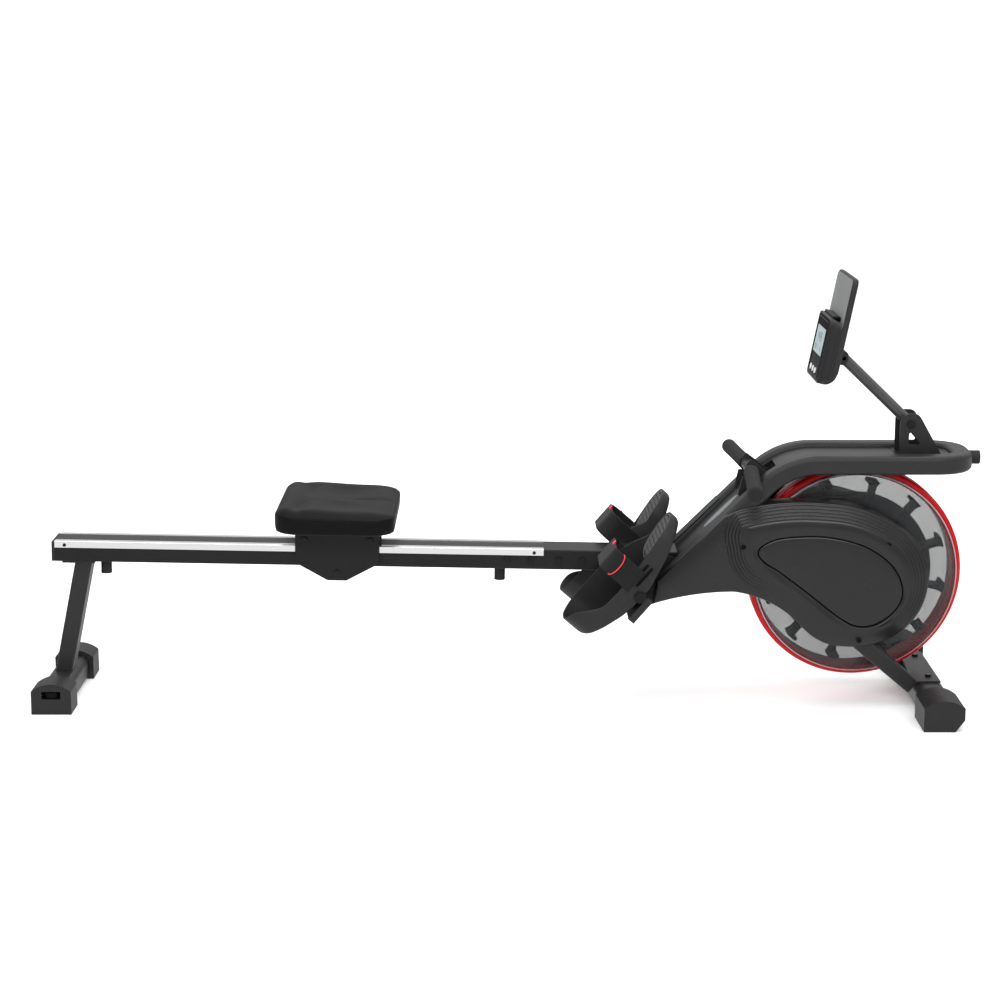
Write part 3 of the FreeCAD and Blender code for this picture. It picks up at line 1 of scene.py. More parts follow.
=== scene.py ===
import bpy
import math
import numpy as np
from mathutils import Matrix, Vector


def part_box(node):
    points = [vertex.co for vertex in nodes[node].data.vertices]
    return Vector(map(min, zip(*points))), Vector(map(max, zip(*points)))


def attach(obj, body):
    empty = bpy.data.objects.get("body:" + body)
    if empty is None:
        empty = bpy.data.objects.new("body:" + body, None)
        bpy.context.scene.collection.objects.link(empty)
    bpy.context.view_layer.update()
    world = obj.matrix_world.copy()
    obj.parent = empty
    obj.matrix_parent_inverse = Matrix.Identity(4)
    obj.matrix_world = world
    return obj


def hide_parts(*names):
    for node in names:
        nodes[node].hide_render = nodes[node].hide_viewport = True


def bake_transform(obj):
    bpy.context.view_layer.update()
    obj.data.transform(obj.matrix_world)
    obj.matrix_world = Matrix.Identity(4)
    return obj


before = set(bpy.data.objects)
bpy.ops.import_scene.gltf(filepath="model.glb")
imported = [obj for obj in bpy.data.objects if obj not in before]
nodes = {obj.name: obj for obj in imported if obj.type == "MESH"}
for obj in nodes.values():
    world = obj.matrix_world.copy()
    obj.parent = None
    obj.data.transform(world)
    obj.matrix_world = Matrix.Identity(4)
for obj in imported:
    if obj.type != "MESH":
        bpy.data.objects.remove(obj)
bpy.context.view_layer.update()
mm = 0.001
sides = (("Right", -1), ("Left", 1))  # the right side is at negative Y
print("frame loaded:", len(nodes), "nodes")

# camera and light
view = {"place": (-0.0165, -4.475, 1.348), "pitch": 11.9, "lens": 81.0, "sensor": 36.0}
camera = bpy.data.objects.new("viewCamera", bpy.data.cameras.new("viewCamera"))
camera.location = view["place"]
camera.rotation_euler = (math.radians(90 - view["pitch"]), 0, 0)
camera.data.lens = view["lens"]
camera.data.sensor_width = view["sensor"]
bpy.context.scene.collection.objects.link(camera)
bpy.context.scene.camera = camera
bpy.context.scene.view_settings.view_transform = "Standard"  # plain whites and deep blacks

studio = {"horizon": 0.20, "zenith": 1.1, "ground": 0.7, "key": 58.0, "fill": 60.0, "back": 66.0, "floor": 0.93,
          "glow": 0.14, "reach": 8.0}


def softLight(name, place, aim, size, power, mirrored=True):
    lamp = bpy.data.objects.new(name, bpy.data.lights.new(name, "AREA"))
    lamp.data.shape = "RECTANGLE"
    lamp.data.size, lamp.data.size_y = size
    lamp.data.energy = power
    lamp.location = place
    step = np.array(aim, float) - np.array(place, float)
    across = math.hypot(step[0], step[1])
    lamp.rotation_euler = (math.atan2(across, -step[2]), 0, math.atan2(step[1], step[0]) - math.pi / 2)
    lamp.visible_camera = False
    lamp.visible_glossy = mirrored  # an unmirrored panel lights the sheet but leaves no glare on top faces
    bpy.context.scene.collection.objects.link(lamp)


softLight("topPanel", (0.1, -0.3, 3.2), (0, 0, 0.3), (4.5, 2.2), studio["key"])
softLight("frontPanel", (0.6, -4.3, 2.55), (0.5, 0, 0.3), (3.4, 0.7), studio["fill"])
softLight("backPanel", (1.0, 3.4, 2.2), (0, 0, 0.3), (3.2, 1.4), studio["back"], False)
world = bpy.data.worlds.new("paleRoom")
world.use_nodes = True
sky = world.node_tree.nodes["Background"]
sky.inputs["Color"].default_value = (1, 1, 1, 1)
skyWay = world.node_tree.nodes.new("ShaderNodeTexCoord")
skySplit = world.node_tree.nodes.new("ShaderNodeSeparateXYZ")


def skyRange(low, high, dim, bright):
    # brightness from dim to bright as the view direction's height goes from low to high
    node = world.node_tree.nodes.new("ShaderNodeMapRange")
    for socket, value in zip(("From Min", "From Max", "To Min", "To Max"), (low, high, dim, bright)):
        node.inputs[socket].default_value = value
    world.node_tree.links.new(skySplit.outputs[2], node.inputs["Value"])
    return node.outputs[0]


skySum = world.node_tree.nodes.new("ShaderNodeMath")
world.node_tree.links.new(skyWay.outputs["Generated"], skySplit.inputs[0])
# dim at the horizon, bright overhead, and bright again underfoot, as the sheet is
world.node_tree.links.new(skyRange(0.0, 0.5, studio["horizon"], studio["zenith"]), skySum.inputs[0])
world.node_tree.links.new(skyRange(-0.04, -0.14, 0.0, studio["ground"]), skySum.inputs[1])
world.node_tree.links.new(skySum.outputs[0], sky.inputs["Strength"])
bpy.context.scene.world = world
print("camera and light set")


# shader groups: grain and weave
def newGroup(name, inputs, outputs):
    group = bpy.data.node_groups.new(name, "ShaderNodeTree")
    for label, kind, value in inputs:
        socket = group.interface.new_socket(label, in_out="INPUT", socket_type=kind)
        if value is not None:
            socket.default_value = value
    for label, kind in outputs:
        group.interface.new_socket(label, in_out="OUTPUT", socket_type=kind)
    return group, group.nodes.new("NodeGroupInput"), group.nodes.new("NodeGroupOutput")


def mathNode(tree, kind, a, b=None):
    node = tree.nodes.new("ShaderNodeMath")
    node.operation = kind
    for socket, value in zip(node.inputs, (a, b)):
        if isinstance(value, (int, float)):
            socket.default_value = value
        elif value is not None:
            tree.links.new(value, socket)
    return node.outputs[0]


def noise(tree, vector, scale, detail=2.0, rough=0.5):
    node = tree.nodes.new("ShaderNodeTexNoise")
    node.inputs["Detail"].default_value = detail
    node.inputs["Roughness"].default_value = rough
    tree.links.new(vector, node.inputs["Vector"])
    if isinstance(scale, (int, float)):
        node.inputs["Scale"].default_value = scale
    else:
        tree.links.new(scale, node.inputs["Scale"])
    return node.outputs["Fac"]


def makeGrain():
    # fine moulded or sprayed grain, plus slow blotches: height for a bump and a mask for colour and gloss
    group, start, end = newGroup("surfaceGrain", [("Vector", "NodeSocketVector", None),
                                                  ("Scale", "NodeSocketFloat", 900.0),
                                                  ("Blotch", "NodeSocketFloat", 9.0)],
                                 [("Height", "NodeSocketFloat"), ("Mask", "NodeSocketFloat")])
    vector = start.outputs["Vector"]
    fine = noise(group, vector, start.outputs["Scale"], 1.0)
    slow = noise(group, vector, start.outputs["Blotch"], 5.0, 0.6)
    group.links.new(fine, end.inputs["Height"])
    group.links.new(slow, end.inputs["Mask"])
    return group


def makeWeave():
    # plain weave: two sine waves set across each other, one offset by half a thread
    group, start, end = newGroup("webWeave", [("Vector", "NodeSocketVector", None),
                                              ("Threads", "NodeSocketFloat", 900.0)],
                                 [("Height", "NodeSocketFloat"), ("Mask", "NodeSocketFloat")])
    split = group.nodes.new("ShaderNodeSeparateXYZ")
    group.links.new(start.outputs["Vector"], split.inputs[0])
    along = mathNode(group, "MULTIPLY", split.outputs[0], start.outputs["Threads"])
    across = mathNode(group, "MULTIPLY", split.outputs[1], start.outputs["Threads"])
    ribs = mathNode(group, "MULTIPLY", mathNode(group, "SINE", along), mathNode(group, "SINE", across))
    height = mathNode(group, "ADD", mathNode(group, "MULTIPLY", ribs, 0.5), 0.5)
    group.links.new(height, end.inputs["Height"])
    group.links.new(noise(group, start.outputs["Vector"], 60.0, 3.0), end.inputs["Mask"])
    return group


grainGroup = makeGrain()
weaveGroup = makeWeave()


skin = {}


def finish(name, colour, rough, grain=900.0, depth=0.15, tint=0.25, spread=0.08, metallic=0.0,
           coat=0.0, alpha=1.0, soften=0.0, weave=False, sheen=0.0, shine=0.5):
    # colour and gloss vary by tint and spread with a slow mask, a fine grain lifts the surface,
    # and soften rounds the light on sharp edges
    material = bpy.data.materials.new(name)
    material.use_nodes = True
    tree = material.node_tree
    shader = tree.nodes["Principled BSDF"]
    shader.inputs["Metallic"].default_value = metallic
    shader.inputs["Coat Weight"].default_value = coat
    shader.inputs["Coat Roughness"].default_value = 0.12
    shader.inputs["Alpha"].default_value = alpha
    shader.inputs["Sheen Weight"].default_value = sheen
    shader.inputs["Specular IOR Level"].default_value = shine
    where = tree.nodes.new("ShaderNodeTexCoord")
    pattern = tree.nodes.new("ShaderNodeGroup")
    pattern.node_tree = weaveGroup if weave else grainGroup
    tree.links.new(where.outputs["UV" if weave else "Object"], pattern.inputs["Vector"])
    pattern.inputs["Threads" if weave else "Scale"].default_value = grain
    shade = tree.nodes.new("ShaderNodeMix")
    shade.data_type = "RGBA"
    shade.inputs[6].default_value = (*[c * (1 - tint) for c in colour], 1)
    shade.inputs[7].default_value = (*[min(1.0, c * (1 + tint)) for c in colour], 1)
    tree.links.new(pattern.outputs["Mask"], shade.inputs[0])
    tree.links.new(shade.outputs[2], shader.inputs["Base Color"])
    gloss = mathNode(tree, "ADD", mathNode(tree, "MULTIPLY", pattern.outputs["Mask"], 2 * spread), rough - spread)
    tree.links.new(gloss, shader.inputs["Roughness"])
    bump = tree.nodes.new("ShaderNodeBump")
    bump.inputs["Strength"].default_value = depth
    bump.inputs["Distance"].default_value = 0.0004
    tree.links.new(pattern.outputs["Height"], bump.inputs["Height"])
    if soften:
        edge = tree.nodes.new("ShaderNodeBevel")
        edge.samples = 6
        edge.inputs["Radius"].default_value = soften
        tree.links.new(edge.outputs[0], bump.inputs["Normal"])
    tree.links.new(bump.outputs[0], shader.inputs["Normal"])
    skin[name] = material


finish("powderBlack", (0.020, 0.020, 0.021), 0.38, 1500, 0.12, 0.15, 0.05, soften=0.0012, shine=0.24)
finish("railBlack", (0.012, 0.012, 0.012), 0.36, 1500, 0.10, 0.15, 0.05, soften=0.0012, shine=0.17)
finish("mouldedBlack", (0.017, 0.017, 0.018), 0.46, 1100, 0.22, 0.2, 0.06, soften=0.0010, shine=0.24)
finish("treadGrey", (0.055, 0.056, 0.058), 0.50, 1100, 0.2, 0.2, 0.08, shine=0.5)
finish("glossBlack", (0.003, 0.003, 0.0035), 0.26, 500, 0.02, 0.2, 0.04, soften=0.0008, shine=0.08)
finish("fanBlack", (0.004, 0.004, 0.004), 0.55, 900, 0.1, 0.2, 0.05, shine=0.15)
finish("coverBlack", (0.011, 0.011, 0.012), 0.26, 1300, 0.05, 0.12, 0.03, shine=0.42)
# near-black finish for recesses, holes and slots: painted shade
finish("paintedShadeBlack", (0.002, 0.002, 0.002), 0.7, 900, 0.1, 0.2, 0.05, shine=0.1)
finish("channelGrey", (0.017, 0.0175, 0.018), 0.32, 900, 0.06, 0.12, 0.05, soften=0.0008, shine=0.28)
finish("plateGrey", (0.17, 0.172, 0.175), 0.42, 900, 0.08, 0.12, 0.06, soften=0.0010)
finish("polishedSteel", (0.95, 0.95, 0.96), 0.22, 300, 0.04, 0.04, 0.06, metallic=1.0)
finish("zincSteel", (0.10, 0.10, 0.105), 0.34, 700, 0.10, 0.2, 0.1, metallic=1.0, soften=0.0006)
finish("faceBlack", (0.003, 0.003, 0.0035), 0.22, 500, 0.01, 0.1, 0.03, shine=0.005)
finish("caseBlack", (0.016, 0.016, 0.017), 0.30, 900, 0.06, 0.15, 0.05, shine=0.25)
finish("boltBlack", (0.030, 0.030, 0.031), 0.32, 700, 0.10, 0.2, 0.1, metallic=1.0, soften=0.0006)
finish("satinBlack", (0.045, 0.045, 0.046), 0.24, 900, 0.06, 0.15, 0.05, shine=0.5)
finish("glossRed", (0.44, 0.002, 0.005), 0.24, 400, 0.03, 0.10, 0.05, shine=0.25)
finish("smokeClear", (0.055, 0.058, 0.060), 0.12, 400, 0.02, 0.10, 0.04, alpha=0.34, shine=0.25)
# lighter, less clear grey for the ring at each wheel cover's outer edge: a painted highlight on the clear rim
finish("paintedHighlightEdge", (0.50, 0.51, 0.52), 0.12, 400, 0.02, 0.10, 0.04, alpha=0.55)
finish("foamBlack", (0.012, 0.012, 0.013), 0.88, 2200, 0.7, 0.35, 0.06, shine=0.3)
finish("rubberBlack", (0.010, 0.010, 0.011), 0.66, 1400, 0.3, 0.3, 0.1, soften=0.0008, shine=0.35)
finish("vinylBlack", (0.0045, 0.0045, 0.005), 0.44, 1250, 0.35, 0.2, 0.05, shine=0.08)
finish("urethane", (0.03, 0.03, 0.033), 0.45, 700, 0.1, 0.2, 0.08)
finish("webBlack", (0.006, 0.006, 0.007), 0.75, 1800, 0.6, 0.3, 0.08, weave=True, sheen=0.05, shine=0.25)
finish("webRed", (0.75, 0.03, 0.04), 0.6, 1800, 0.5, 0.2, 0.08, weave=True)
finish("lcdGlass", (0.36, 0.44, 0.46), 0.3, 300, 0.02, 0.05, 0.04, shine=0.1)
finish("lcdInk", (0.006, 0.008, 0.01), 0.5, 500, 0.02, 0.1, 0.05, shine=0.1)
finish("keyWhite", (0.72, 0.73, 0.74), 0.45, 900, 0.1, 0.08, 0.05)

dressing = {
    "railBlack": ["rail_beam", "front_beam", "seat_carriage"],
    "powderBlack": ["rear_leg", "rear_stabilizer", "front_stabilizer", "front_fork", "main_frame",
                    "pedal_carrier", "console_bracket", "handlebar", "handle_rest"],
    "satinBlack": ["mast"],
    "mouldedBlack": ["rail_end_cap", "rear_foot_cap_right", "rear_foot_cap_left", "front_foot_cap_right",
                     "front_foot_cap_left", "side_cover_right", "side_cover_left", "footplate_right",
                     "footplate_left"],
    "glossBlack": ["level_wheel_right", "level_wheel_left", "clutch_pulley", "strap_spool", "guide_roller",
                   "console_body"],
    "fanBlack": ["fan_wheel"],
    "channelGrey": ["channel_cover"],
    "treadGrey": ["tablet_rest"],
    "polishedSteel": ["rail_strip_right", "rail_strip_left"],
    "boltBlack": ["fasteners"],
    "zincSteel": ["wheel_axle", "spool_shaft", "fan_bearings", "recoil_spring"],
    "glossRed": ["shroud_ring"],
    "smokeClear": ["shroud_cover_right", "shroud_cover_left"],
    "foamBlack": ["grip_right", "grip_left"],
    "rubberBlack": ["rail_stops", "transport_wheel_right", "transport_wheel_left", "storage_bumper", "drive_belt"],
    "vinylBlack": ["seat_pad"],
    "urethane": ["seat_rollers_rear", "seat_rollers_front", "seat_rollers_lower"],
    "webBlack": ["strap_lead", "pull_strap", "foot_strap_right", "foot_strap_left"],
    "lcdGlass": ["console_screen"],
    "keyWhite": ["button_right", "button_middle", "button_left"],
}
for look, names in dressing.items():
    for name in names:
        mesh = nodes[name].data
        if not mesh.materials:
            mesh.materials.append(None)
        for slotIndex in range(len(nodes[name].material_slots)):
            nodes[name].material_slots[slotIndex].link = "OBJECT"
            nodes[name].material_slots[slotIndex].material = skin[look]
print("materials made:", len(skin))


# mesh helpers
def meshObject(name, points, faces, looks, smooth=True):
    # one object from points and faces; looks is one finish, or (finishes, index for each face).
    mesh = bpy.data.meshes.new(name)
    mesh.from_pydata(np.asarray(points, float).reshape(-1, 3).tolist(), [], faces)
    finishes, which = looks if isinstance(looks, tuple) else ([looks], None)
    for look in finishes:
        mesh.materials.append(skin[look])
    if which is not None:
        mesh.polygons.foreach_set("material_index", np.asarray(which, np.int32))
    mesh.polygons.foreach_set("use_smooth", np.full(len(mesh.polygons), smooth))
    mesh.update()
    piece = bpy.data.objects.new(name, mesh)
    bpy.context.scene.collection.objects.link(piece)
    return piece


def gridFaces(rows, columns, wrap=True, flip=False):
    # quads between neighbouring rows of points; wrap joins the last column to the first.
    i, j = np.meshgrid(np.arange(rows - 1), np.arange(columns if wrap else columns - 1), indexing="ij")
    k = (j + 1) % columns
    quads = np.stack([i * columns + j, i * columns + k, (i + 1) * columns + k, (i + 1) * columns + j], -1)
    quads = quads.reshape(-1, 4)
    return (quads[:, ::-1] if flip else quads).tolist()


def loft(name, rings, looks, caps=True, flip=False, bandLook=None):
    # skin over closed rings of equal count, with a flat face over the first and the last ring.
    rings = np.asarray(rings, float)
    rows, columns = rings.shape[:2]
    faces = gridFaces(rows, columns, True, flip)
    which = None
    if bandLook is not None:
        which = np.repeat(bandLook, columns).tolist()
    if caps:
        first, last = list(range(columns)), list(range((rows - 1) * columns, rows * columns))
        faces.append(first if flip else first[::-1])
        faces.append(last[::-1] if flip else last)
        if which is not None:
            which += [bandLook[0], bandLook[-1]]
    return meshObject(name, rings, faces, looks if which is None else (looks, which))


def crisp(piece, degrees=28.0):
    # smooth shading that keeps edges sharper than the given angle.
    mesh = piece.data
    mesh.polygons.foreach_set("use_smooth", np.full(len(mesh.polygons), True))
    mesh.set_sharp_from_angle(angle=math.radians(degrees))
    return piece


def fullTurn(count):
    # angles at even steps round a whole turn
    return np.linspace(0, 2 * np.pi, count, endpoint=False)


def lathe(name, profile, centre, look, turns=256, flip=False):
    # profile (radius, y) turned about the Y direction through centre; the profile is a closed loop.
    profile = np.asarray(profile, float)
    angle = fullTurn(turns)
    x = centre[0] + profile[:, :1] * np.cos(angle)
    z = centre[1] + profile[:, :1] * np.sin(angle)
    y = np.repeat(profile[:, 1:], turns, 1)
    rings = np.stack([x, y, z], -1)
    rings = np.concatenate([rings, rings[:1]])
    points = rings[:-1].reshape(-1, 3)
    faces = (np.array(gridFaces(len(rings), turns, True, flip)) % len(points)).tolist()
    return crisp(meshObject(name, points, faces, look))


def arcPoints(a, b, c, count=40):
    # points on the circle through a, b and c, from a to c.
    a, b, c = (np.array(p, float) for p in (a, b, c))
    turn = 2 * ((b[0] - a[0]) * (c[1] - a[1]) - (b[1] - a[1]) * (c[0] - a[0]))
    if abs(turn) < 1e-6:
        return a + (c - a) * np.linspace(0, 1, count, endpoint=False)[:, None]
    squares = [(p ** 2).sum() for p in (a, b, c)]
    x = (squares[0] * (b[1] - c[1]) + squares[1] * (c[1] - a[1]) + squares[2] * (a[1] - b[1])) / turn
    y = (squares[0] * (c[0] - b[0]) + squares[1] * (a[0] - c[0]) + squares[2] * (b[0] - a[0])) / turn
    centre = np.array([x, y])
    radius = np.hypot(*(a - centre))
    angles = [math.atan2(*(p - centre)[::-1]) for p in (a, b, c)]
    sweep = (angles[2] - angles[0]) % (2 * np.pi)
    if (angles[1] - angles[0]) % (2 * np.pi) > sweep:
        sweep -= 2 * np.pi
    t = angles[0] + sweep * np.linspace(0, 1, count, endpoint=False)
    return centre + radius * np.stack([np.cos(t), np.sin(t)], -1)


def evenly(points, count):
    # a closed curve resampled to count points at even steps along it.
    closed = np.vstack([points, points[:1]])
    along = np.concatenate([[0], np.cumsum(np.hypot(*np.diff(closed, axis=0).T))])
    steps = np.linspace(0, along[-1], count, endpoint=False)
    return np.stack([np.interp(steps, along, closed[:, k]) for k in (0, 1)], -1)


def aroundCentre(points, centre, count):
    # a closed curve resampled at even angles about centre.
    relative = points - centre
    angle = np.unwrap(np.arctan2(relative[:, 1], relative[:, 0]))
    if angle[-1] < angle[0]:
        relative = relative[::-1]
        angle = np.unwrap(np.arctan2(relative[:, 1], relative[:, 0]))
    radius = np.hypot(*relative.T)
    order = np.argsort(angle % (2 * np.pi))
    wrapped, ordered = (angle % (2 * np.pi))[order], radius[order]
    at = fullTurn(count)
    r = np.interp(at, np.concatenate([wrapped - 2 * np.pi, wrapped, wrapped + 2 * np.pi]), np.tile(ordered, 3))
    return centre + r[:, None] * np.stack([np.cos(at), np.sin(at)], -1)


def inset(points, amount):
    # a closed curve moved inwards along its own normals.
    step = np.roll(points, -1, 0) - np.roll(points, 1, 0)
    normal = np.stack([-step[:, 1], step[:, 0]], -1) / np.hypot(*step.T)[:, None]
    area = (points[:, 0] * np.roll(points[:, 1], -1) - points[:, 1] * np.roll(points[:, 0], -1)).sum()
    return points + normal * amount * (1 if area > 0 else -1)


def splineLoop(points, per=24):
    # closed Catmull-Rom curve through the points.
    p = np.asarray(points, float)
    a, b, c, d = np.roll(p, 1, 0), p, np.roll(p, -1, 0), np.roll(p, -2, 0)
    t = np.linspace(0, 1, per, endpoint=False)[None, :, None]
    a, b, c, d = (q[:, None, :] for q in (a, b, c, d))
    curve = 0.5 * (2 * b + (c - a) * t + (2 * a - 5 * b + 4 * c - d) * t ** 2 + (3 * b - a - 3 * c + d) * t ** 3)
    return curve.reshape(-1, 2)


def roundedLoop(halfX, halfY, radius, count=240, power=2.0):
    # rounded rectangle about the origin, evenly spaced; power above 2 squares the corners.
    t = np.linspace(0, np.pi / 2, 24)
    corner = np.stack([np.cos(t) ** (2 / power), np.sin(t) ** (2 / power)], -1) * radius
    ends = []
    for quarter, (sx, sy) in enumerate([(1, 1), (-1, 1), (-1, -1), (1, -1)]):
        bit = corner if quarter % 2 == 0 else corner[::-1]
        ends.append(np.array([sx * (halfX - radius), sy * (halfY - radius)]) + bit * (sx, sy))
    return evenly(np.vstack(ends), count)


def joined(name, pieces):
    # several pieces made one object, under the first one's name.
    with bpy.context.temp_override(active_object=pieces[0], selected_editable_objects=pieces):
        bpy.ops.object.join()
    pieces[0].name = name
    return pieces[0]


def weaveMap(piece, slant=0.0):
    # thread coordinates for the weave: x + z along, y less slant times z across
    uv = piece.data.uv_layers.new(name="weave")
    index = np.zeros(len(piece.data.loops), np.int32)
    piece.data.loops.foreach_get("vertex_index", index)
    co = np.zeros(len(piece.data.vertices) * 3, np.float32)
    piece.data.vertices.foreach_get("co", co)
    co = co.reshape(-1, 3)[index]
    threads = np.stack([co[:, 0] + co[:, 2], co[:, 1] - slant * co[:, 2]], -1)
    uv.data.foreach_set("uv", threads.astype(np.float32).ravel())


def place(points2, y):
    # side-view points (x, z) in millimetres put at distance y, in metres.
    y = np.broadcast_to(y, points2.shape[:1])
    return np.stack([points2[:, 0], y, points2[:, 1]], -1) * mm


# seat cushion
seat = {"halfLong": 119.5, "halfWide": 164.0, "corner": 50.0, "tilt": 1.0, "rim": 33.5, "crown": 12.0,
        "lift": 2.2}


def seatCushion():
    # rings of a rounded rectangle: flat base, upright sides, a tight rim, then a crowned and dished top:
    # height = rim + crown * rise(share) + ridges along the front and rear edges - dips under the thighs
    low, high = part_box("seat_pad")
    centre = np.array([(low.x + high.x) / 2, 0.0, low.z + seat["lift"] * mm])
    tilt = math.radians(seat["tilt"])

    def tilted(x, y, z):
        return np.stack([x * math.cos(tilt) + z * math.sin(tilt), y, z * math.cos(tilt) - x * math.sin(tilt)], -1)

    base = roundedLoop(seat["halfLong"], seat["halfWide"], seat["corner"], 360, 2.1)
    rim, crown = seat["rim"], seat["crown"]
    wallSteps = [(0.5, 0.0), (0.93, 0.0), (0.966, 0.4), (0.982, 2.0), (0.991, 5.5), (0.997, 12.0), (1.0, 22.0),
                 (1.0, rim - 3.0), (0.997, rim - 0.9), (0.990, rim)]
    rings = [np.column_stack([base * share, np.full(len(base), height)]) for share, height in wallSteps]
    for share in np.linspace(0.97, 0.02, 44):
        rise = np.clip((1 - share) / 0.34, 0, 1)
        rings.append(np.column_stack([base * share, np.full(len(base), rim + crown * (rise * (2 - rise)) ** 0.8)]))
    rings = np.array(rings)
    x, y, z = rings[..., 0], rings[..., 1], rings[..., 2]
    a, b = x / seat["halfLong"], y / seat["halfWide"]
    top = np.clip((z - rim + 6) / 12, 0, 1)
    shape = 5.5 * np.exp(-((a + 0.86) / 0.22) ** 2) * (1 - 0.4 * b ** 2)
    shape += 4.0 * np.exp(-((np.abs(b) - 0.86) / 0.16) ** 2) - 4.2 * a * np.clip(1.2 - np.abs(a), 0, 1)
    shape -= 6.5 * np.exp(-((a - 0.10) / 0.36) ** 2) * np.exp(-((np.abs(b) - 0.40) / 0.30) ** 2)
    shape -= 6.0 * np.exp(-((a + 0.48 + 0.25 * b ** 2) / 0.13) ** 2) * np.exp(-((np.abs(b) - 0.45) / 0.5) ** 2)
    shape -= 3.5 * np.exp(-(b / 0.09) ** 2) * np.exp(-((a - 0.45) / 0.5) ** 2)
    shape -= 2.0 * np.clip((a + 0.3) / 1.3, 0, 1)
    z = z + top * shape
    cushion = loft("seatCushion", tilted(x, y, z) * mm + centre, "vinylBlack")
    # welt cord under the rim
    count = len(base)
    turn = fullTurn(8)
    cordRings = np.array([np.column_stack([base * (0.996 + 0.0075 * math.cos(v)),
                                           np.full(count, rim - 7 + 1.2 * math.sin(v))]) for v in turn])
    x, y, z = cordRings[..., 0], cordRings[..., 1], cordRings[..., 2]
    faces = (np.array(gridFaces(9, count)) % (8 * count)).tolist()
    cord = meshObject("seatPiping", tilted(x, y, z) * mm + centre, faces, "vinylBlack")
    cushion = joined("seatCushion", [cushion, cord])
    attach(cushion, "seat")
    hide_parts("seat_pad")


seatCushion()
print("seat cushion made")

# side covers
cover = {"back": 60.3, "face": 104.0, "wall": 2.5, "ribs": 5, "ribWide": 6.4, "ribHigh": 2.1,
         "centre": (650.0, 268.0), "screws": [(468, 333, 116.0), (757, 338, 116.0), (704, 141, 114.6)]}
coverEdges = [((288.5, 212.7), (372, 232), (452, 238)), ((452, 238), (528, 214), (588, 168)),
              ((588, 168), (611, 146), (643, 130)), ((643, 130), (697, 124), (751, 135)),
              ((751, 135), (841, 250), (778, 375)), ((778, 375), (706, 408), (634, 420)),
              ((634, 420), (563, 422), (492, 414)), ((492, 414), (462, 407), (430, 392)),
              ((430, 392), (364, 326), (298, 260)), ((298, 260), (295, 237), (288.5, 212.7))]
domeEdges = [((452, 400), (540, 418), (634, 418)), ((634, 418), (706, 406), (776, 373)),
             ((776, 373), (838, 250), (750, 137)), ((750, 137), (697, 126), (644, 132)),
             ((644, 132), (612, 148), (590, 170)), ((590, 170), (540, 214), (480, 250)),
             ((480, 250), (446, 290), (436, 330)), ((436, 330), (434, 372), (452, 400))]
panelPoints = [(499, 326), (524, 344), (564, 352), (635, 352), (707, 334), (761, 298), (785, 256), (782, 217),
               (750, 182), (707, 170), (667, 186), (603, 236), (545, 280), (508, 305)]


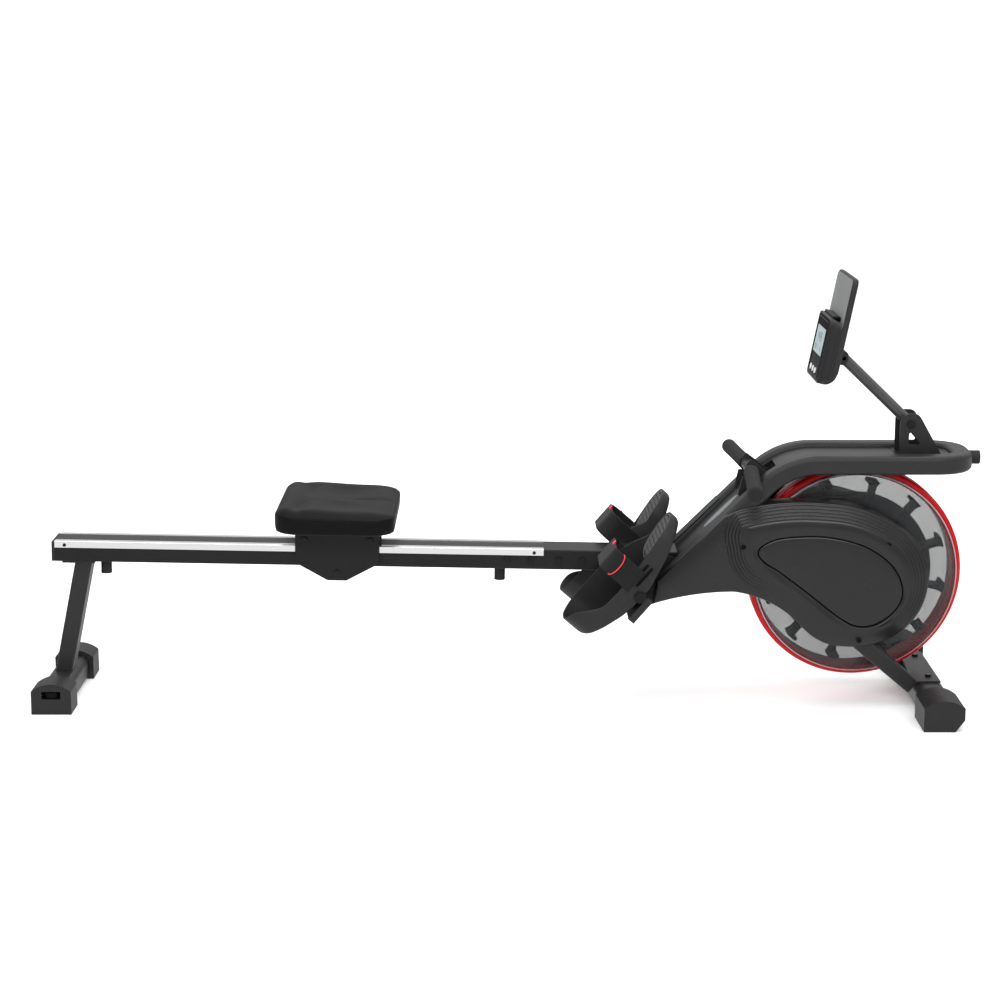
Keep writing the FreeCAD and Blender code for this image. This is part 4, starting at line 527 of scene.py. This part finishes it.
def sideCover(side, sign):
    # shell: closed rings round the outline; bulge: rings from the rib outline to the panel, stepped at the ribs
    centre = np.array(cover["centre"])
    outline = evenly(np.vstack([arcPoints(*arc) for arc in coverEdges]), 700)
    face, back, wall = cover["face"], cover["back"], cover["wall"]
    steps = [(wall, face - wall), (wall, back), (0, back), (0, face - 4.0), (0.4, face - 2.0), (1.4, face - 0.7),
             (3.2, face)]
    rings = [place(inset(outline, d), sign * y) for d, y in steps]
    shell = crisp(loft("shell" + side, rings, "coverBlack", flip=sign > 0))
    count = 720
    edge = aroundCentre(np.vstack([arcPoints(*arc) for arc in domeEdges]), centre, count)
    panel = aroundCentre(splineLoop(panelPoints), centre, count)
    angle = np.degrees(fullTurn(count))
    # ribs fade out along the lower edge, between about 205 and 320 degrees
    fade = np.clip(np.clip((205 - angle) / 14, 0, 1) + np.clip((angle - 318) / 16, 0, 1), 0, 1)
    rings = [place(edge, sign * np.full(count, face - 1.0))]
    total = cover["ribs"] * cover["ribWide"]
    rise = cover["ribs"] * cover["ribHigh"]
    for k in range(cover["ribs"]):
        for dx, dy in ((0.3, 0.0), (0.9, 0.50), (1.8, 0.94), (3.0, 1.20), (4.2, 1.26), (5.3, 1.16),
                       (cover["ribWide"] - 0.3, 0.90)):
            d = k * cover["ribWide"] + dx
            stepped = (k + dy) * cover["ribHigh"]
            smooth = rise * math.sin(min(1.0, d / total) * math.pi / 2)
            rings.append(place(inset(edge, d), sign * (face + fade * stepped + (1 - fade) * smooth)))
    inner = inset(edge, total + 1.0)
    level = face + rise
    rings.append(place(inner, sign * np.full(count, level + 0.6)))
    lip = inset(panel, -2.6)
    for share, up in ((0.12, 1.3), (0.28, 2.3), (0.46, 2.8), (0.64, 2.6), (0.80, 1.7), (0.92, 0.7), (1.0, 0.0)):
        rings.append(place(inner * (1 - share) + lip * share, sign * np.full(count, level + up)))
    plain = len(rings)
    rings.append(place(inset(panel, -1.9), sign * np.full(count, level - 0.8)))
    rings.append(place(inset(panel, -1.7), sign * np.full(count, level - 3.4)))
    rings.append(place(inset(panel, 0.2), sign * np.full(count, level - 3.4)))
    groove = len(rings)
    for d, up in ((0.4, -0.4), (0.9, 0.5), (2.2, 1.1), (5.0, 1.4)):
        rings.append(place(inset(panel, d), sign * np.full(count, level + up)))
    flat = inset(panel, 5.0)
    for share in (0.75, 0.5, 0.25, 0.02):
        rings.append(place(centre + (flat - centre) * share,
                           sign * np.full(count, level + 1.4 + 1.2 * (1 - share ** 2))))
    # the groove's outer wall and floor get the near-black finish: painted shade in the recess
    which = np.zeros(len(rings) - 1, int)
    which[plain:groove - 1] = 1
    bulge = crisp(loft("bulge" + side, rings, ["coverBlack", "paintedShadeBlack"], flip=sign < 0, bandLook=which), 24)
    spots = []
    # each screw hole is a raised rim closed by a near-black disc inside it: painted shade in the hole
    for x, z, out in cover["screws"]:
        ring = []
        for radius, up in ((6.2, -0.5), (6.0, 0.5), (5.2, 0.6), (4.6, -0.2)):
            t = fullTurn(40)
            ring.append(place(np.column_stack([x + radius * np.cos(t), z + radius * np.sin(t)]), sign * (out + up)))
        spots.append(crisp(loft("screwRim" + side, ring, "coverBlack", False, flip=sign < 0)))
        disc = list(range(40))
        spots.append(meshObject("screwShadeDisc" + side, place(np.column_stack([x + 4.9 * np.cos(t), z + 4.9 * np.sin(t)]),
                                                          sign * (out + 0.35)), [disc if sign < 0 else disc[::-1]],
                                "paintedShadeBlack"))
    body = joined("cover" + side, [shell, bulge, *spots])
    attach(body, "frame")
    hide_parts("side_cover_" + side.lower())


for side, sign in sides:
    sideCover(side, sign)
print("side covers made")

# wheel housing
wheel = {"centre": (703.5 * mm, 263.0 * mm), "outer": 217.0, "inner": 199.0, "half": 28.0, "coverHalf": 45.0,
         "coverEdge": 205.5, "soft": 8.0, "hole": {"Right": 21.0, "Left": 8.5}}


def wheelHousing():
    outer, inner, half = wheel["outer"], wheel["inner"], wheel["half"]
    t = np.linspace(0, np.pi / 2, 7)
    soft = wheel["soft"]
    right = np.stack([outer - soft + soft * np.cos(t[::-1]), -half + soft - soft * np.sin(t[::-1])], -1)
    left = np.stack([outer - soft + soft * np.cos(t), half - soft + soft * np.sin(t)], -1)
    groove = np.array([(outer, -3.0), (outer - 1.2, -2.0), (outer - 1.2, 2.0), (outer, 3.0)])
    profile = np.vstack([[(inner, -half)], right, groove, left, [(inner, half)]]) * mm
    ring = lathe("wheelRing", profile, wheel["centre"], "glossRed", 320)
    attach(ring, "frame")
    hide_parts("shroud_ring")
    for side, sign in sides:
        hole = wheel["hole"][side]
        edge, high, low = wheel["coverEdge"], wheel["coverHalf"], half
        dish = [(edge, low), (edge, high - 6), (edge - 1.2, high - 2.6), (edge - 4, high - 0.8), (edge - 8, high),
                (edge - 15, high), (edge - 16.2, high - 1.6), (edge - 19, high - 1.6), (edge - 20.2, high),
                (96, high), (95, high - 1.0), (92, high - 1.0), (91, high), (hole, high)]
        under = [(r - 2.2 if k < 3 else r, min(y, high - 2.4) if k >= 3 else max(low, y - 1.5 * (k > 0)))
                 for k, (r, y) in enumerate(dish)]
        loop = np.array(dish + under[::-1]) * mm
        loop[:, 1] *= sign
        dishPiece = lathe("wheelCover" + side, loop, wheel["centre"], "smokeClear", 320, flip=sign > 0)
        # thin ring at each cover's outer edge in the lighter grey: a painted highlight along the clear rim
        lip = np.array([(edge + 0.2, high - 7), (edge + 0.2, high - 4.4), (edge - 1.0, high - 2.2),
                        (edge - 2.2, high - 1.6), (edge - 1.6, high - 3.4), (edge - 1.0, high - 7)]) * mm
        lip[:, 1] *= sign
        bead = lathe("wheelHighlightBead" + side, lip, wheel["centre"], "paintedHighlightEdge", 320, flip=sign > 0)
        dishPiece = joined("wheelCover" + side, [dishPiece, bead])
        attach(dishPiece, "frame")
        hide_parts("shroud_cover_" + side.lower())


wheelHousing()
print("wheel housing made")

# foam grips
grip = {"inner": (487.6, 46.0, 472.6), "outer": (472.6, 262.0, 469.1), "radius": 15.2, "round": 6.5}


def foamGrip(side, sign):
    # circle rings along the swept-back arm, with rounded ends and a slight waist
    inner, outer = (np.array(grip[end]) * (1, sign, 1) for end in ("inner", "outer"))
    along = (outer - inner) / np.linalg.norm(outer - inner)
    length = np.linalg.norm(outer - inner)
    first = np.cross(along, (0, 0, 1.0))
    first /= np.linalg.norm(first)
    second = np.cross(along, first)
    t = np.linspace(0, np.pi / 2, 7)
    ends = grip["round"]
    stations = [(0.4, 11.3)] + [(0.4 + ends * 0.6 * (1 - math.cos(a)), grip["radius"] - ends * 0.6 * (1 - math.sin(a)))
                                for a in t]
    middle = [(s, grip["radius"] - 0.5 * math.sin((s - 6) / (length - 14) * math.pi) ** 2)
              for s in np.linspace(8, length - ends - 2, 26)]
    close = [(length - ends + ends * math.sin(a), grip["radius"] - ends * (1 - math.cos(a))) for a in t]
    stations = stations + middle + close + [(length, 3.0)]
    turn = fullTurn(64)[:, None]
    rings = [(inner + along * s + r * (np.cos(turn) * first + np.sin(turn) * second)) * mm for s, r in stations]
    piece = loft("foamGrip" + side, rings, "foamBlack", flip=sign > 0)
    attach(piece, "handle")
    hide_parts("grip_" + side.lower())


for side, sign in sides:
    foamGrip(side, sign)


# pull strap
pull = {"halfWide": 12.5, "halfThick": 0.8, "roller": (528.0, 461.3), "hook": (504.4, 465.6)}


def pullStrap():
    # flat band from the roller's top to the hook's slot
    halfWide, halfThick = pull["halfWide"] * mm, pull["halfThick"] * mm
    start, end = np.array(pull["roller"]) * mm, np.array(pull["hook"]) * mm
    line = start + (end - start) * np.linspace(0, 1, 40)[:, None]
    normal = np.array([-(end - start)[1], (end - start)[0]])
    normal /= np.linalg.norm(normal)
    corners = [(-halfWide, -halfThick), (halfWide, -halfThick), (halfWide, halfThick), (-halfWide, halfThick)]
    rings = np.stack([np.column_stack([line[:, 0] + normal[0] * n, np.full(len(line), y), line[:, 1] + normal[1] * n])
                      for y, n in corners], 1)
    piece = loft("pullStrap", rings, "webBlack")
    crisp(piece)
    weaveMap(piece)
    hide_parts("pull_strap")
    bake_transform(piece)


pullStrap()
print("grips and pull strap made")

# pedals
pedal = {"heel": (158.6, 162.0), "angle": math.radians(49.0), "middle": 115.0, "half": 56.0,
         "boss": (129, -22), "halfLong": 150.0, "corner": 50.0, "centre": 139.0, "slotAt": 165}


def pedalToWorld(points, sign):
    # pedal coordinates (along the sole, across, off the sole) in millimetres to metres in the row frame.
    points = np.asarray(points, float)
    c, s = math.cos(pedal["angle"]), math.sin(pedal["angle"])
    x = pedal["heel"][0] + points[..., 0] * c - points[..., 2] * s
    z = pedal["heel"][1] + points[..., 0] * s + points[..., 2] * c
    return np.stack([x, sign * pedal["middle"] + points[..., 1], z], -1) * mm


def along(u, knots):
    # smooth height along the sole through (u, n) knots.
    knots = np.array(knots, float)
    fine = np.linspace(knots[0, 0], knots[-1, 0], 400)
    height = np.interp(fine, knots[:, 0], knots[:, 1])
    window = np.ones(21) / 21
    height = np.convolve(np.pad(height, 10, mode="edge"), window, mode="valid")
    return np.interp(u, fine, height)


sole = {"under": [(-14, 14), (0, 2), (40, -12), (78, -23), (120, -27), (155, -26), (190, -18), (230, -8), (290, 14)],
        "outer": [(-14, 57), (6, 56), (22, 52), (45, 33), (65, 19), (110, 17), (190, 22), (240, 29), (290, 35)],
        "inner": [(-14, 57), (14, 58), (125, 58), (160, 51), (190, 42), (224, 25), (240, 29), (290, 35)],
        "bed": [(-14, 14), (4, 6), (60, -8), (130, -9), (160, -4), (186, 13), (194, 19), (240, 26), (290, 32)]}
tread = {"radius": 5.2, "pitchU": 10.6, "pitchV": 12.2, "high": 1.8}


def hexTread(name, low, high, half, look, sign):
    # raised hexagons in a honeycomb that follow the bed, each a short prism with a bevelled top
    u, v = np.meshgrid(np.arange(low, high, tread["pitchU"]), np.arange(-5, 6) * tread["pitchV"], indexing="ij")
    v = v + (np.arange(u.shape[0]) % 2)[:, None] * tread["pitchV"] / 2
    middle, reach = (low + high) / 2, (high - low) / 2
    fits = ((u - middle) / (reach + 2)) ** 4 + (v / half) ** 4 < 1
    u, v = u[fits], v[fits]
    turn = np.radians(np.arange(0, 360, 60))
    rings = []
    for radius, lift in ((tread["radius"], -0.6), (tread["radius"] - 0.2, tread["high"] - 0.5),
                         (tread["radius"] - 1.0, tread["high"])):
        uu, vv = u[:, None] + radius * np.cos(turn), v[:, None] + radius * np.sin(turn)
        rings.append(np.stack([uu, vv, along(uu, sole["bed"]) + lift], -1))
    points = np.stack(rings, 1).reshape(-1, 3)
    start = np.arange(len(u))[:, None] * 18
    k, after = np.arange(6), (np.arange(6) + 1) % 6
    quads = np.concatenate([np.stack([start + s + k, start + s + after, start + s + 6 + after, start + s + 6 + k], -1)
                            .reshape(-1, 4) for s in (0, 6)]).tolist()
    return meshObject(name, pedalToWorld(points, sign), quads + (start + 12 + k).tolist(), look, False)


def pedalTray(side, sign):
    # rings of the tray's plan: sole, outer wall, rim, inner wall and bed, then in to the middle line;
    # the rim blends from the low outer side to the high inner side across the round heel and toe
    half = pedal["half"]
    plan = roundedLoop(pedal["halfLong"], half, pedal["corner"], 300, 2.1) + (pedal["centre"], 0)
    spine = np.clip(plan[:, 0], 44, 236)
    centreLine = np.column_stack([spine, np.zeros(len(plan))])
    innerSide = -sign

    def ring(share, height, lift=0.0, inward=0.0):
        flat = inset(plan, inward)
        flat = centreLine + (flat - centreLine) * share
        if height == "rim":
            blend = np.clip(0.5 + innerSide * flat[:, 1] / 30, 0, 1)
            up = along(flat[:, 0], sole["outer"]) * (1 - blend) + along(flat[:, 0], sole["inner"]) * blend
        else:
            up = along(flat[:, 0], sole[height])
        return np.column_stack([flat, up + lift])

    rings = [ring(0.03, "under"), ring(0.5, "under"), ring(0.86, "under"), ring(0.95, "under", 0.8),
             ring(0.985, "under", 3.0), ring(1.0, "under", 8.0), ring(1.0, "rim", -2.0), ring(1.0, "rim", -0.6, 0.4),
             ring(1.0, "rim", 0.0, 1.2), ring(1.0, "rim", 0.0, 2.6), ring(1.0, "rim", -1.0, 3.6)]
    floor = ring(1.0, "bed", 0.6, 4.6)
    wall = ring(1.0, "rim", -1.0, 3.6)
    step = wall.copy()
    step[:, 2] = np.maximum(floor[:, 2] + 2.0, wall[:, 2] - 4.0)
    rings += [np.where(step[:, 2:] < wall[:, 2:], step, wall), floor, ring(1.0, "bed", 0.0, 7.0), ring(0.6, "bed"),
              ring(0.3, "bed"), ring(0.03, "bed")]
    tray = crisp(loft("tray" + side, [pedalToWorld(r, sign) for r in rings], "mouldedBlack"), 40)
    parts = [tray, hexTread("toeTread" + side, 200, 276, half - 12, "treadGrey", sign),
             hexTread("heelTread" + side, 26, 116, half - 13, "mouldedBlack", sign)]
    # raised lip round the toe pad
    lip = roundedLoop(50, half - 5, 44, 160) + (236, 0)
    rim = []
    for d, up in ((0.0, -0.5), (0.0, 1.6), (1.0, 2.3), (3.2, 2.3), (4.0, 1.4), (4.2, -0.5)):
        flat = inset(lip, d)
        rim.append(pedalToWorld(np.column_stack([flat, along(flat[:, 0], sole["bed"]) + up]), sign))
    parts.append(crisp(loft("toeRim" + side, rim, "treadGrey", False), 40))
    # two long slots in each side wall, framed by a raised lip
    for v in (-half, half):
        outward = 1 if v > 0 else -1
        for k in (0, 1):
            slot = roundedLoop(24, 2.6, 2.6, 40) + (pedal["slotAt"], 9 - 11 * k)
            hole = []
            for grow, out in ((1.8, -0.5), (1.8, 0.9), (0.6, 0.9), (0.2, -1.2)):
                bigger = inset(slot, -grow)
                hole.append(np.column_stack([bigger[:, 0], np.full(40, v + outward * out), bigger[:, 1]]))
            parts.append(loft("slotRim" + side, [pedalToWorld(h, sign) for h in hole], "mouldedBlack", False,
                              flip=outward < 0))
            # a near-black sheet closes each slot just inside the wall: painted shade in the slot
            dark = np.array(hole[-1])
            dark[:, 1] = v + outward * 0.3
            disc = list(range(40))
            parts.append(meshObject("slotShadeFill" + side, pedalToWorld(dark, sign),
                                    [disc if outward < 0 else disc[::-1]], "paintedShadeBlack"))
    boss, (bossAlong, bossUp) = [], pedal["boss"]
    t = fullTurn(48)
    for v, radius in ((-half - 0.2, 7), (-half - 1.6, 11), (-half - 1.6, 12.5), (-half, 13), (half, 13),
                      (half + 1.6, 12.5), (half + 1.6, 11), (half + 0.2, 7)):
        boss.append(pedalToWorld(np.column_stack([bossAlong + radius * np.cos(t), np.full(48, v),
                                                  bossUp + radius * np.sin(t)]), sign))
    parts.append(crisp(loft("boss" + side, boss, "mouldedBlack")))
    tray = joined("pedalTray" + side, parts)
    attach(tray, "pedal_" + side.lower())
    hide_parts("footplate_" + side.lower())


strap = {"Right": {"start": 122.0, "rise": 79.0, "corner": 18.0},
         "Left": {"start": 141.0, "rise": 91.0, "corner": 28.0},
         "long": 50.0, "foot": 4.0, "thick": 3.0}


def footStrap(side, sign):
    # band over the foot: up one side, round two corners and down the other, swept along the sole
    own = strap[side]
    half, rise, corner = pedal["half"] + 0.4, own["rise"] - strap["thick"], own["corner"]
    t = np.linspace(0, np.pi / 2, 14)
    turn = np.column_stack([half - corner + corner * np.cos(t), rise - corner + corner * np.sin(t)])
    sideLine = np.column_stack([np.full(14, half), np.linspace(strap["foot"], rise - corner, 15)[:-1]])
    topLine = np.column_stack([np.linspace(half - corner, 0, 12)[1:], np.full(11, rise)])
    arch = np.vstack([sideLine, turn, topLine])
    arch = np.vstack([arch, (arch * (-1, 1))[::-1][1:]])
    step = np.gradient(arch, axis=0)
    normal = np.stack([step[:, 1], -step[:, 0]], -1) / np.hypot(*step.T)[:, None]
    rings = []
    for across, out in ((0.0, 0.2), (0.0, 0.8), (0.02, 1.0), (0.06, 1.05), (0.08, 0.92), (0.5, 1.0), (0.92, 0.92),
                        (0.94, 1.05), (0.98, 1.0), (1.0, 0.8), (1.0, 0.2), (0.98, 0.0), (0.5, 0.0), (0.02, 0.0)):
        moved = arch + normal * strap["thick"] * out
        rings.append(np.column_stack([np.full(len(arch), own["start"] + strap["long"] * across), moved]))
    rings = np.array(rings)
    rings = pedalToWorld(rings.transpose(1, 0, 2), sign)
    band = crisp(loft("band" + side, rings, "webBlack", True, flip=True), 50)
    # thin red cord laid in a shallow curve on the outer side, and a short tab at the toe edge on top
    knots = np.array([(1, 59), (4, 53.5), (14, 50), (28, 49.3), (42, 51.5), (51, 57), (50.5, 60)]) + (own["start"], 0)
    fine = np.linspace(0, len(knots) - 1, 60)
    line = np.column_stack([np.interp(fine, np.arange(len(knots)), knots[:, k]) for k in (0, 1)])
    line = np.column_stack([np.convolve(np.pad(line[:, k], 4, mode="edge"), np.ones(9) / 9, mode="valid")
                            for k in (0, 1)])
    drift = np.clip((line[:, 1] - (rise - corner)) / corner, 0, 1)
    bend = half + strap["thick"] - corner * (1 - np.sqrt(1 - drift ** 2))
    middle = np.column_stack([line[:, 0], sign * (bend + 0.3), line[:, 1]])
    t2 = fullTurn(8)[:, None]
    ahead = np.gradient(middle, axis=0)
    ahead /= np.linalg.norm(ahead, axis=1)[:, None]
    first = np.cross(ahead, (0, 1.0, 0))
    first /= np.linalg.norm(first, axis=1)[:, None]
    pipe = middle[:, None, :] + 1.1 * (np.cos(t2) * first[:, None, :] + np.sin(t2) * np.array([0, 1.0, 0]))
    piping = loft("piping" + side, pedalToWorld(pipe, sign), "webRed", flip=True)
    tabU, tabN = own["start"] + strap["long"] - 1, own["rise"]
    tab = roundedLoop(4.5, 8, 2.0, 40)
    tabRings = [pedalToWorld(np.column_stack([inset(tab, d) + (tabU, 0), np.full(40, tabN + up)]), sign)
                for d, up in ((0.5, -0.6), (0, 0), (0.2, 1.3), (1.0, 1.6))]
    tag = loft("tag" + side, tabRings, "webRed")
    for piece in (band, piping, tag):
        weaveMap(piece, 1.0)
    band = joined("footBand" + side, [band, piping, tag])
    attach(band, "pedal_" + side.lower())
    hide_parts("foot_strap_" + side.lower())


for side, sign in sides:
    pedalTray(side, sign)
    footStrap(side, sign)
print("pedals made")

# console
console = {"origin": (608.2, 656.2), "tilt": math.radians(11.1), "wide": 150.0, "high": 131.0, "deep": 23.0,
           "tabletHigh": 218.0, "tabletThick": 12.0, "tabletWide": 200.0, "heel": 25.0}


def consoleToWorld(points):
    # console coordinates (into its depth, across, up its face) in millimetres to metres in the row frame.
    points = np.asarray(points, float)
    c, s = math.cos(console["tilt"]), math.sin(console["tilt"])
    x = console["origin"][0] + points[..., 0] * c + points[..., 2] * s
    z = console["origin"][1] - points[..., 0] * s + points[..., 2] * c
    return np.stack([x, points[..., 1], z], -1) * mm


def slab(name, wide, low, high, radius, front, back, look, soft=2.5):
    # plate with a rounded outline and soft edges, from depth front to depth back.
    outline = roundedLoop(wide / 2, (high - low) / 2, radius, 160) + (0, (low + high) / 2)
    t = np.linspace(0, np.pi / 2, 5)
    steps = [(soft * (1 - math.sin(a)), front + soft * (1 - math.cos(a))) for a in t]
    steps += [(soft * (1 - math.cos(a)), back - soft + soft * math.sin(a)) for a in t]
    rings = []
    for d, x in steps:
        flat = inset(outline, d)
        rings.append(consoleToWorld(np.column_stack([np.full(160, x), flat[:, 0], flat[:, 1]])))
    return crisp(loft(name, rings, look, flip=True), 35)


barPlaces = {"a": (0, 1), "b": (1, 0.5), "c": (1, 0), "d": (0, 0), "e": (0, 0), "f": (0, 0.5), "g": (0, 0.5)}
litBars = {"0": "abcdef", "1": "bc", "2": "abged", "3": "abgcd", "4": "fgbc", "5": "afgcd", "6": "afgedc",
           "7": "abc", "8": "abcdefg", "9": "abcdfg"}


def digit(value, y, z, size):
    # seven bar digit on the screen plane, its lower right corner at y, z: each bar's middle plus
    # half its width and height to either side
    lit = litBars[value]
    flat = np.array([bar in "adg" for bar in lit])
    right, up = np.array([barPlaces[bar] for bar in lit], float).T
    middles = np.stack([y + np.where(flat, size * 0.25, right * size * 0.5),
                        z + size * up + np.where(flat, 0, size * 0.25)], -1)
    sizes = np.where(flat[:, None], (size * 0.5, size * 0.10), (size * 0.10, size * 0.46))
    corners = middles[:, None] + np.array([(-1, -1), (1, -1), (1, 1), (-1, 1)]) * sizes[:, None] / 2
    return np.stack([np.full(corners.shape[:2], -0.25), -corners[..., 0], corners[..., 1]], -1).reshape(-1, 3)


def caseShell():
    # rings from the face back into the tablet plate: the sides flare by an eased step
    # and the lower edge rises along a quarter ellipse
    back = console["deep"] + console["tabletThick"] - 1.5
    rings = []
    for depth, soft in ((0.3, 3.0), (0.5, 1.8), (1.1, 0.9), (1.9, 0.3), (3.0, 0.0),
                        *((step, 0.0) for step in (*range(5, 30, 3), 31.5)), (back, 0.8)):
        t = min(1.0, max(0.0, (depth - 4) / 17))
        flare = t * t * (3 - 2 * t)
        low = console["heel"] * (1 - math.sqrt(1 - (max(0.0, depth - 4) / (back - 3)) ** 2))
        high = console["high"] - 4 * flare
        half = console["wide"] / 2 + (console["tabletWide"] / 2 - 3 - console["wide"] / 2) * flare
        outline = roundedLoop(half - soft, (high - low) / 2 - soft, 10, 160) + (0, (low + high) / 2)
        rings.append(consoleToWorld(np.column_stack([np.full(160, depth), outline])))
    return crisp(loft("caseShell", rings, "caseBlack", flip=True), 35)


def consoleHead():
    case = caseShell()
    glass = slab("caseFace", console["wide"] - 8, 4, console["high"] - 4, 7, 0.12, 3.0, "faceBlack", 0.3)
    bezel = roundedLoop(66, 57, 7, 120) + (0, 66)
    rim = []
    for d, x in ((0.0, 0.3), (0.3, -0.5), (1.2, -0.7), (2.2, -0.5), (2.6, 0.3)):
        flat = inset(bezel, d)
        rim.append(consoleToWorld(np.column_stack([np.full(120, x), flat[:, 0], flat[:, 1]])))
    frameRim = crisp(loft("screenRim", rim, "mouldedBlack", False, flip=True), 35)
    case = joined("consoleCase", [case, glass, frameRim])
    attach(case, "console")
    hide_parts("console_body")
    plate = slab("plateShell", console["tabletWide"], 22, console["tabletHigh"], 14, console["deep"],
                 console["deep"] + console["tabletThick"], "mouldedBlack", 3.5)
    face = slab("plateFace", console["tabletWide"] - 7, 40, console["tabletHigh"] - 3.5, 11,
                console["deep"] - 0.5, console["deep"] + 3, "plateGrey", 0.5)
    ledge = slab("plateLedge", console["wide"] - 30, console["high"] - 3, console["high"] + 5, 3.6, 7.0,
                 console["deep"] + 2, "glossBlack", 1.6)
    ears = []
    for y in (-14.8, 14.8):
        outline = roundedLoop(16, 14, 9, 60) + (46, 52.6)
        rings = [consoleToWorld(np.column_stack([inset(outline, d)[:, 0], np.full(60, y + out),
                                                 inset(outline, d)[:, 1]]))
                 for d, out in ((1, -2.5), (0, -1.8), (0, 1.8), (1, 2.5))]
        ears.append(crisp(loft("plateEar", rings, "mouldedBlack"), 35))
    t = fullTurn(32)
    pin = [consoleToWorld(np.column_stack([54.4 + 4 * np.cos(t), np.full(32, y), 52.6 + 4 * np.sin(t)]))
           for y in (-17.3, 17.3)]
    plate = joined("tabletPlate", [plate, face, ledge, *ears, crisp(loft("platePin", pin, "boltBlack"))])
    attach(plate, "console")
    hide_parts("tablet_rest")
    rows = [("1425", -26, 13, 78, 15), ("028", -38, 8, 58, 8), ("124", 16, 8, 58, 8)]  # text, start, step, up, size
    points = np.vstack([digit(value, start + step * k + (3 if k > 1 and size > 8 else 0), up, size)
                        for text, start, step, up, size in rows for k, value in enumerate(text)])
    faces = (np.arange(0, len(points), 4)[:, None] + (0, 3, 2, 1)).tolist()
    ink = meshObject("screenDigits", consoleToWorld(points), faces, "lcdInk", False)
    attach(ink, "console")


consoleHead()
print("console made")

# blank badge, set into the grey channel
badge = {"from": 398.0, "to": 466.0, "half": 15.0, "drop": 50.4}


def channelBadge():
    # domed oval that follows the slanted channel
    t = fullTurn(96)
    middle, reach = (badge["from"] + badge["to"]) / 2, (badge["to"] - badge["from"]) / 2 * math.sqrt(2)
    rings = []
    for share, up in ((1.0, -0.3), (1.0, 0.5), (0.97, 1.0), (0.9, 1.2), (0.86, 0.7), (0.5, 0.9), (0.02, 1.0)):
        s, y = reach * share * np.cos(t), badge["half"] * share * np.sin(t)
        x = middle + (s - up) / math.sqrt(2)
        z = middle - badge["drop"] + (s + up) / math.sqrt(2)
        rings.append(np.stack([x, y, z], -1) * mm)
    piece = crisp(loft("channelBadge", rings, "plateGrey"), 40)
    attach(piece, "frame")


channelBadge()


# studio floor
def studioFloor():
    # flat sheet that curves up on every side, far beyond the machine:
    # height = (distance past the flat) squared / 4
    side = np.linspace(-14, 14, 85)
    x, y = np.meshgrid(side, side, indexing="xy")
    past = np.clip(np.maximum(np.abs(x), np.abs(y)) - studio["reach"], 0, None)
    mesh = np.stack([x, y, past ** 2 / 4 - 0.0004], -1)
    paper = bpy.data.materials.new("paperWhite")
    paper.use_nodes = True
    sockets = paper.node_tree.nodes["Principled BSDF"].inputs
    sockets["Base Color"].default_value = (*[studio["floor"]] * 3, 1)
    sockets["Roughness"].default_value = 0.6
    sockets["Emission Color"].default_value = (1, 1, 1, 1)
    sockets["Emission Strength"].default_value = studio["glow"]
    skin["paperWhite"] = paper
    floor = meshObject("studioFloor", mesh, gridFaces(85, 85, False), "paperWhite")
    floor.visible_glossy = False  # gloss mirrors the dim horizon instead of the sheet


studioFloor()
print("floor made")
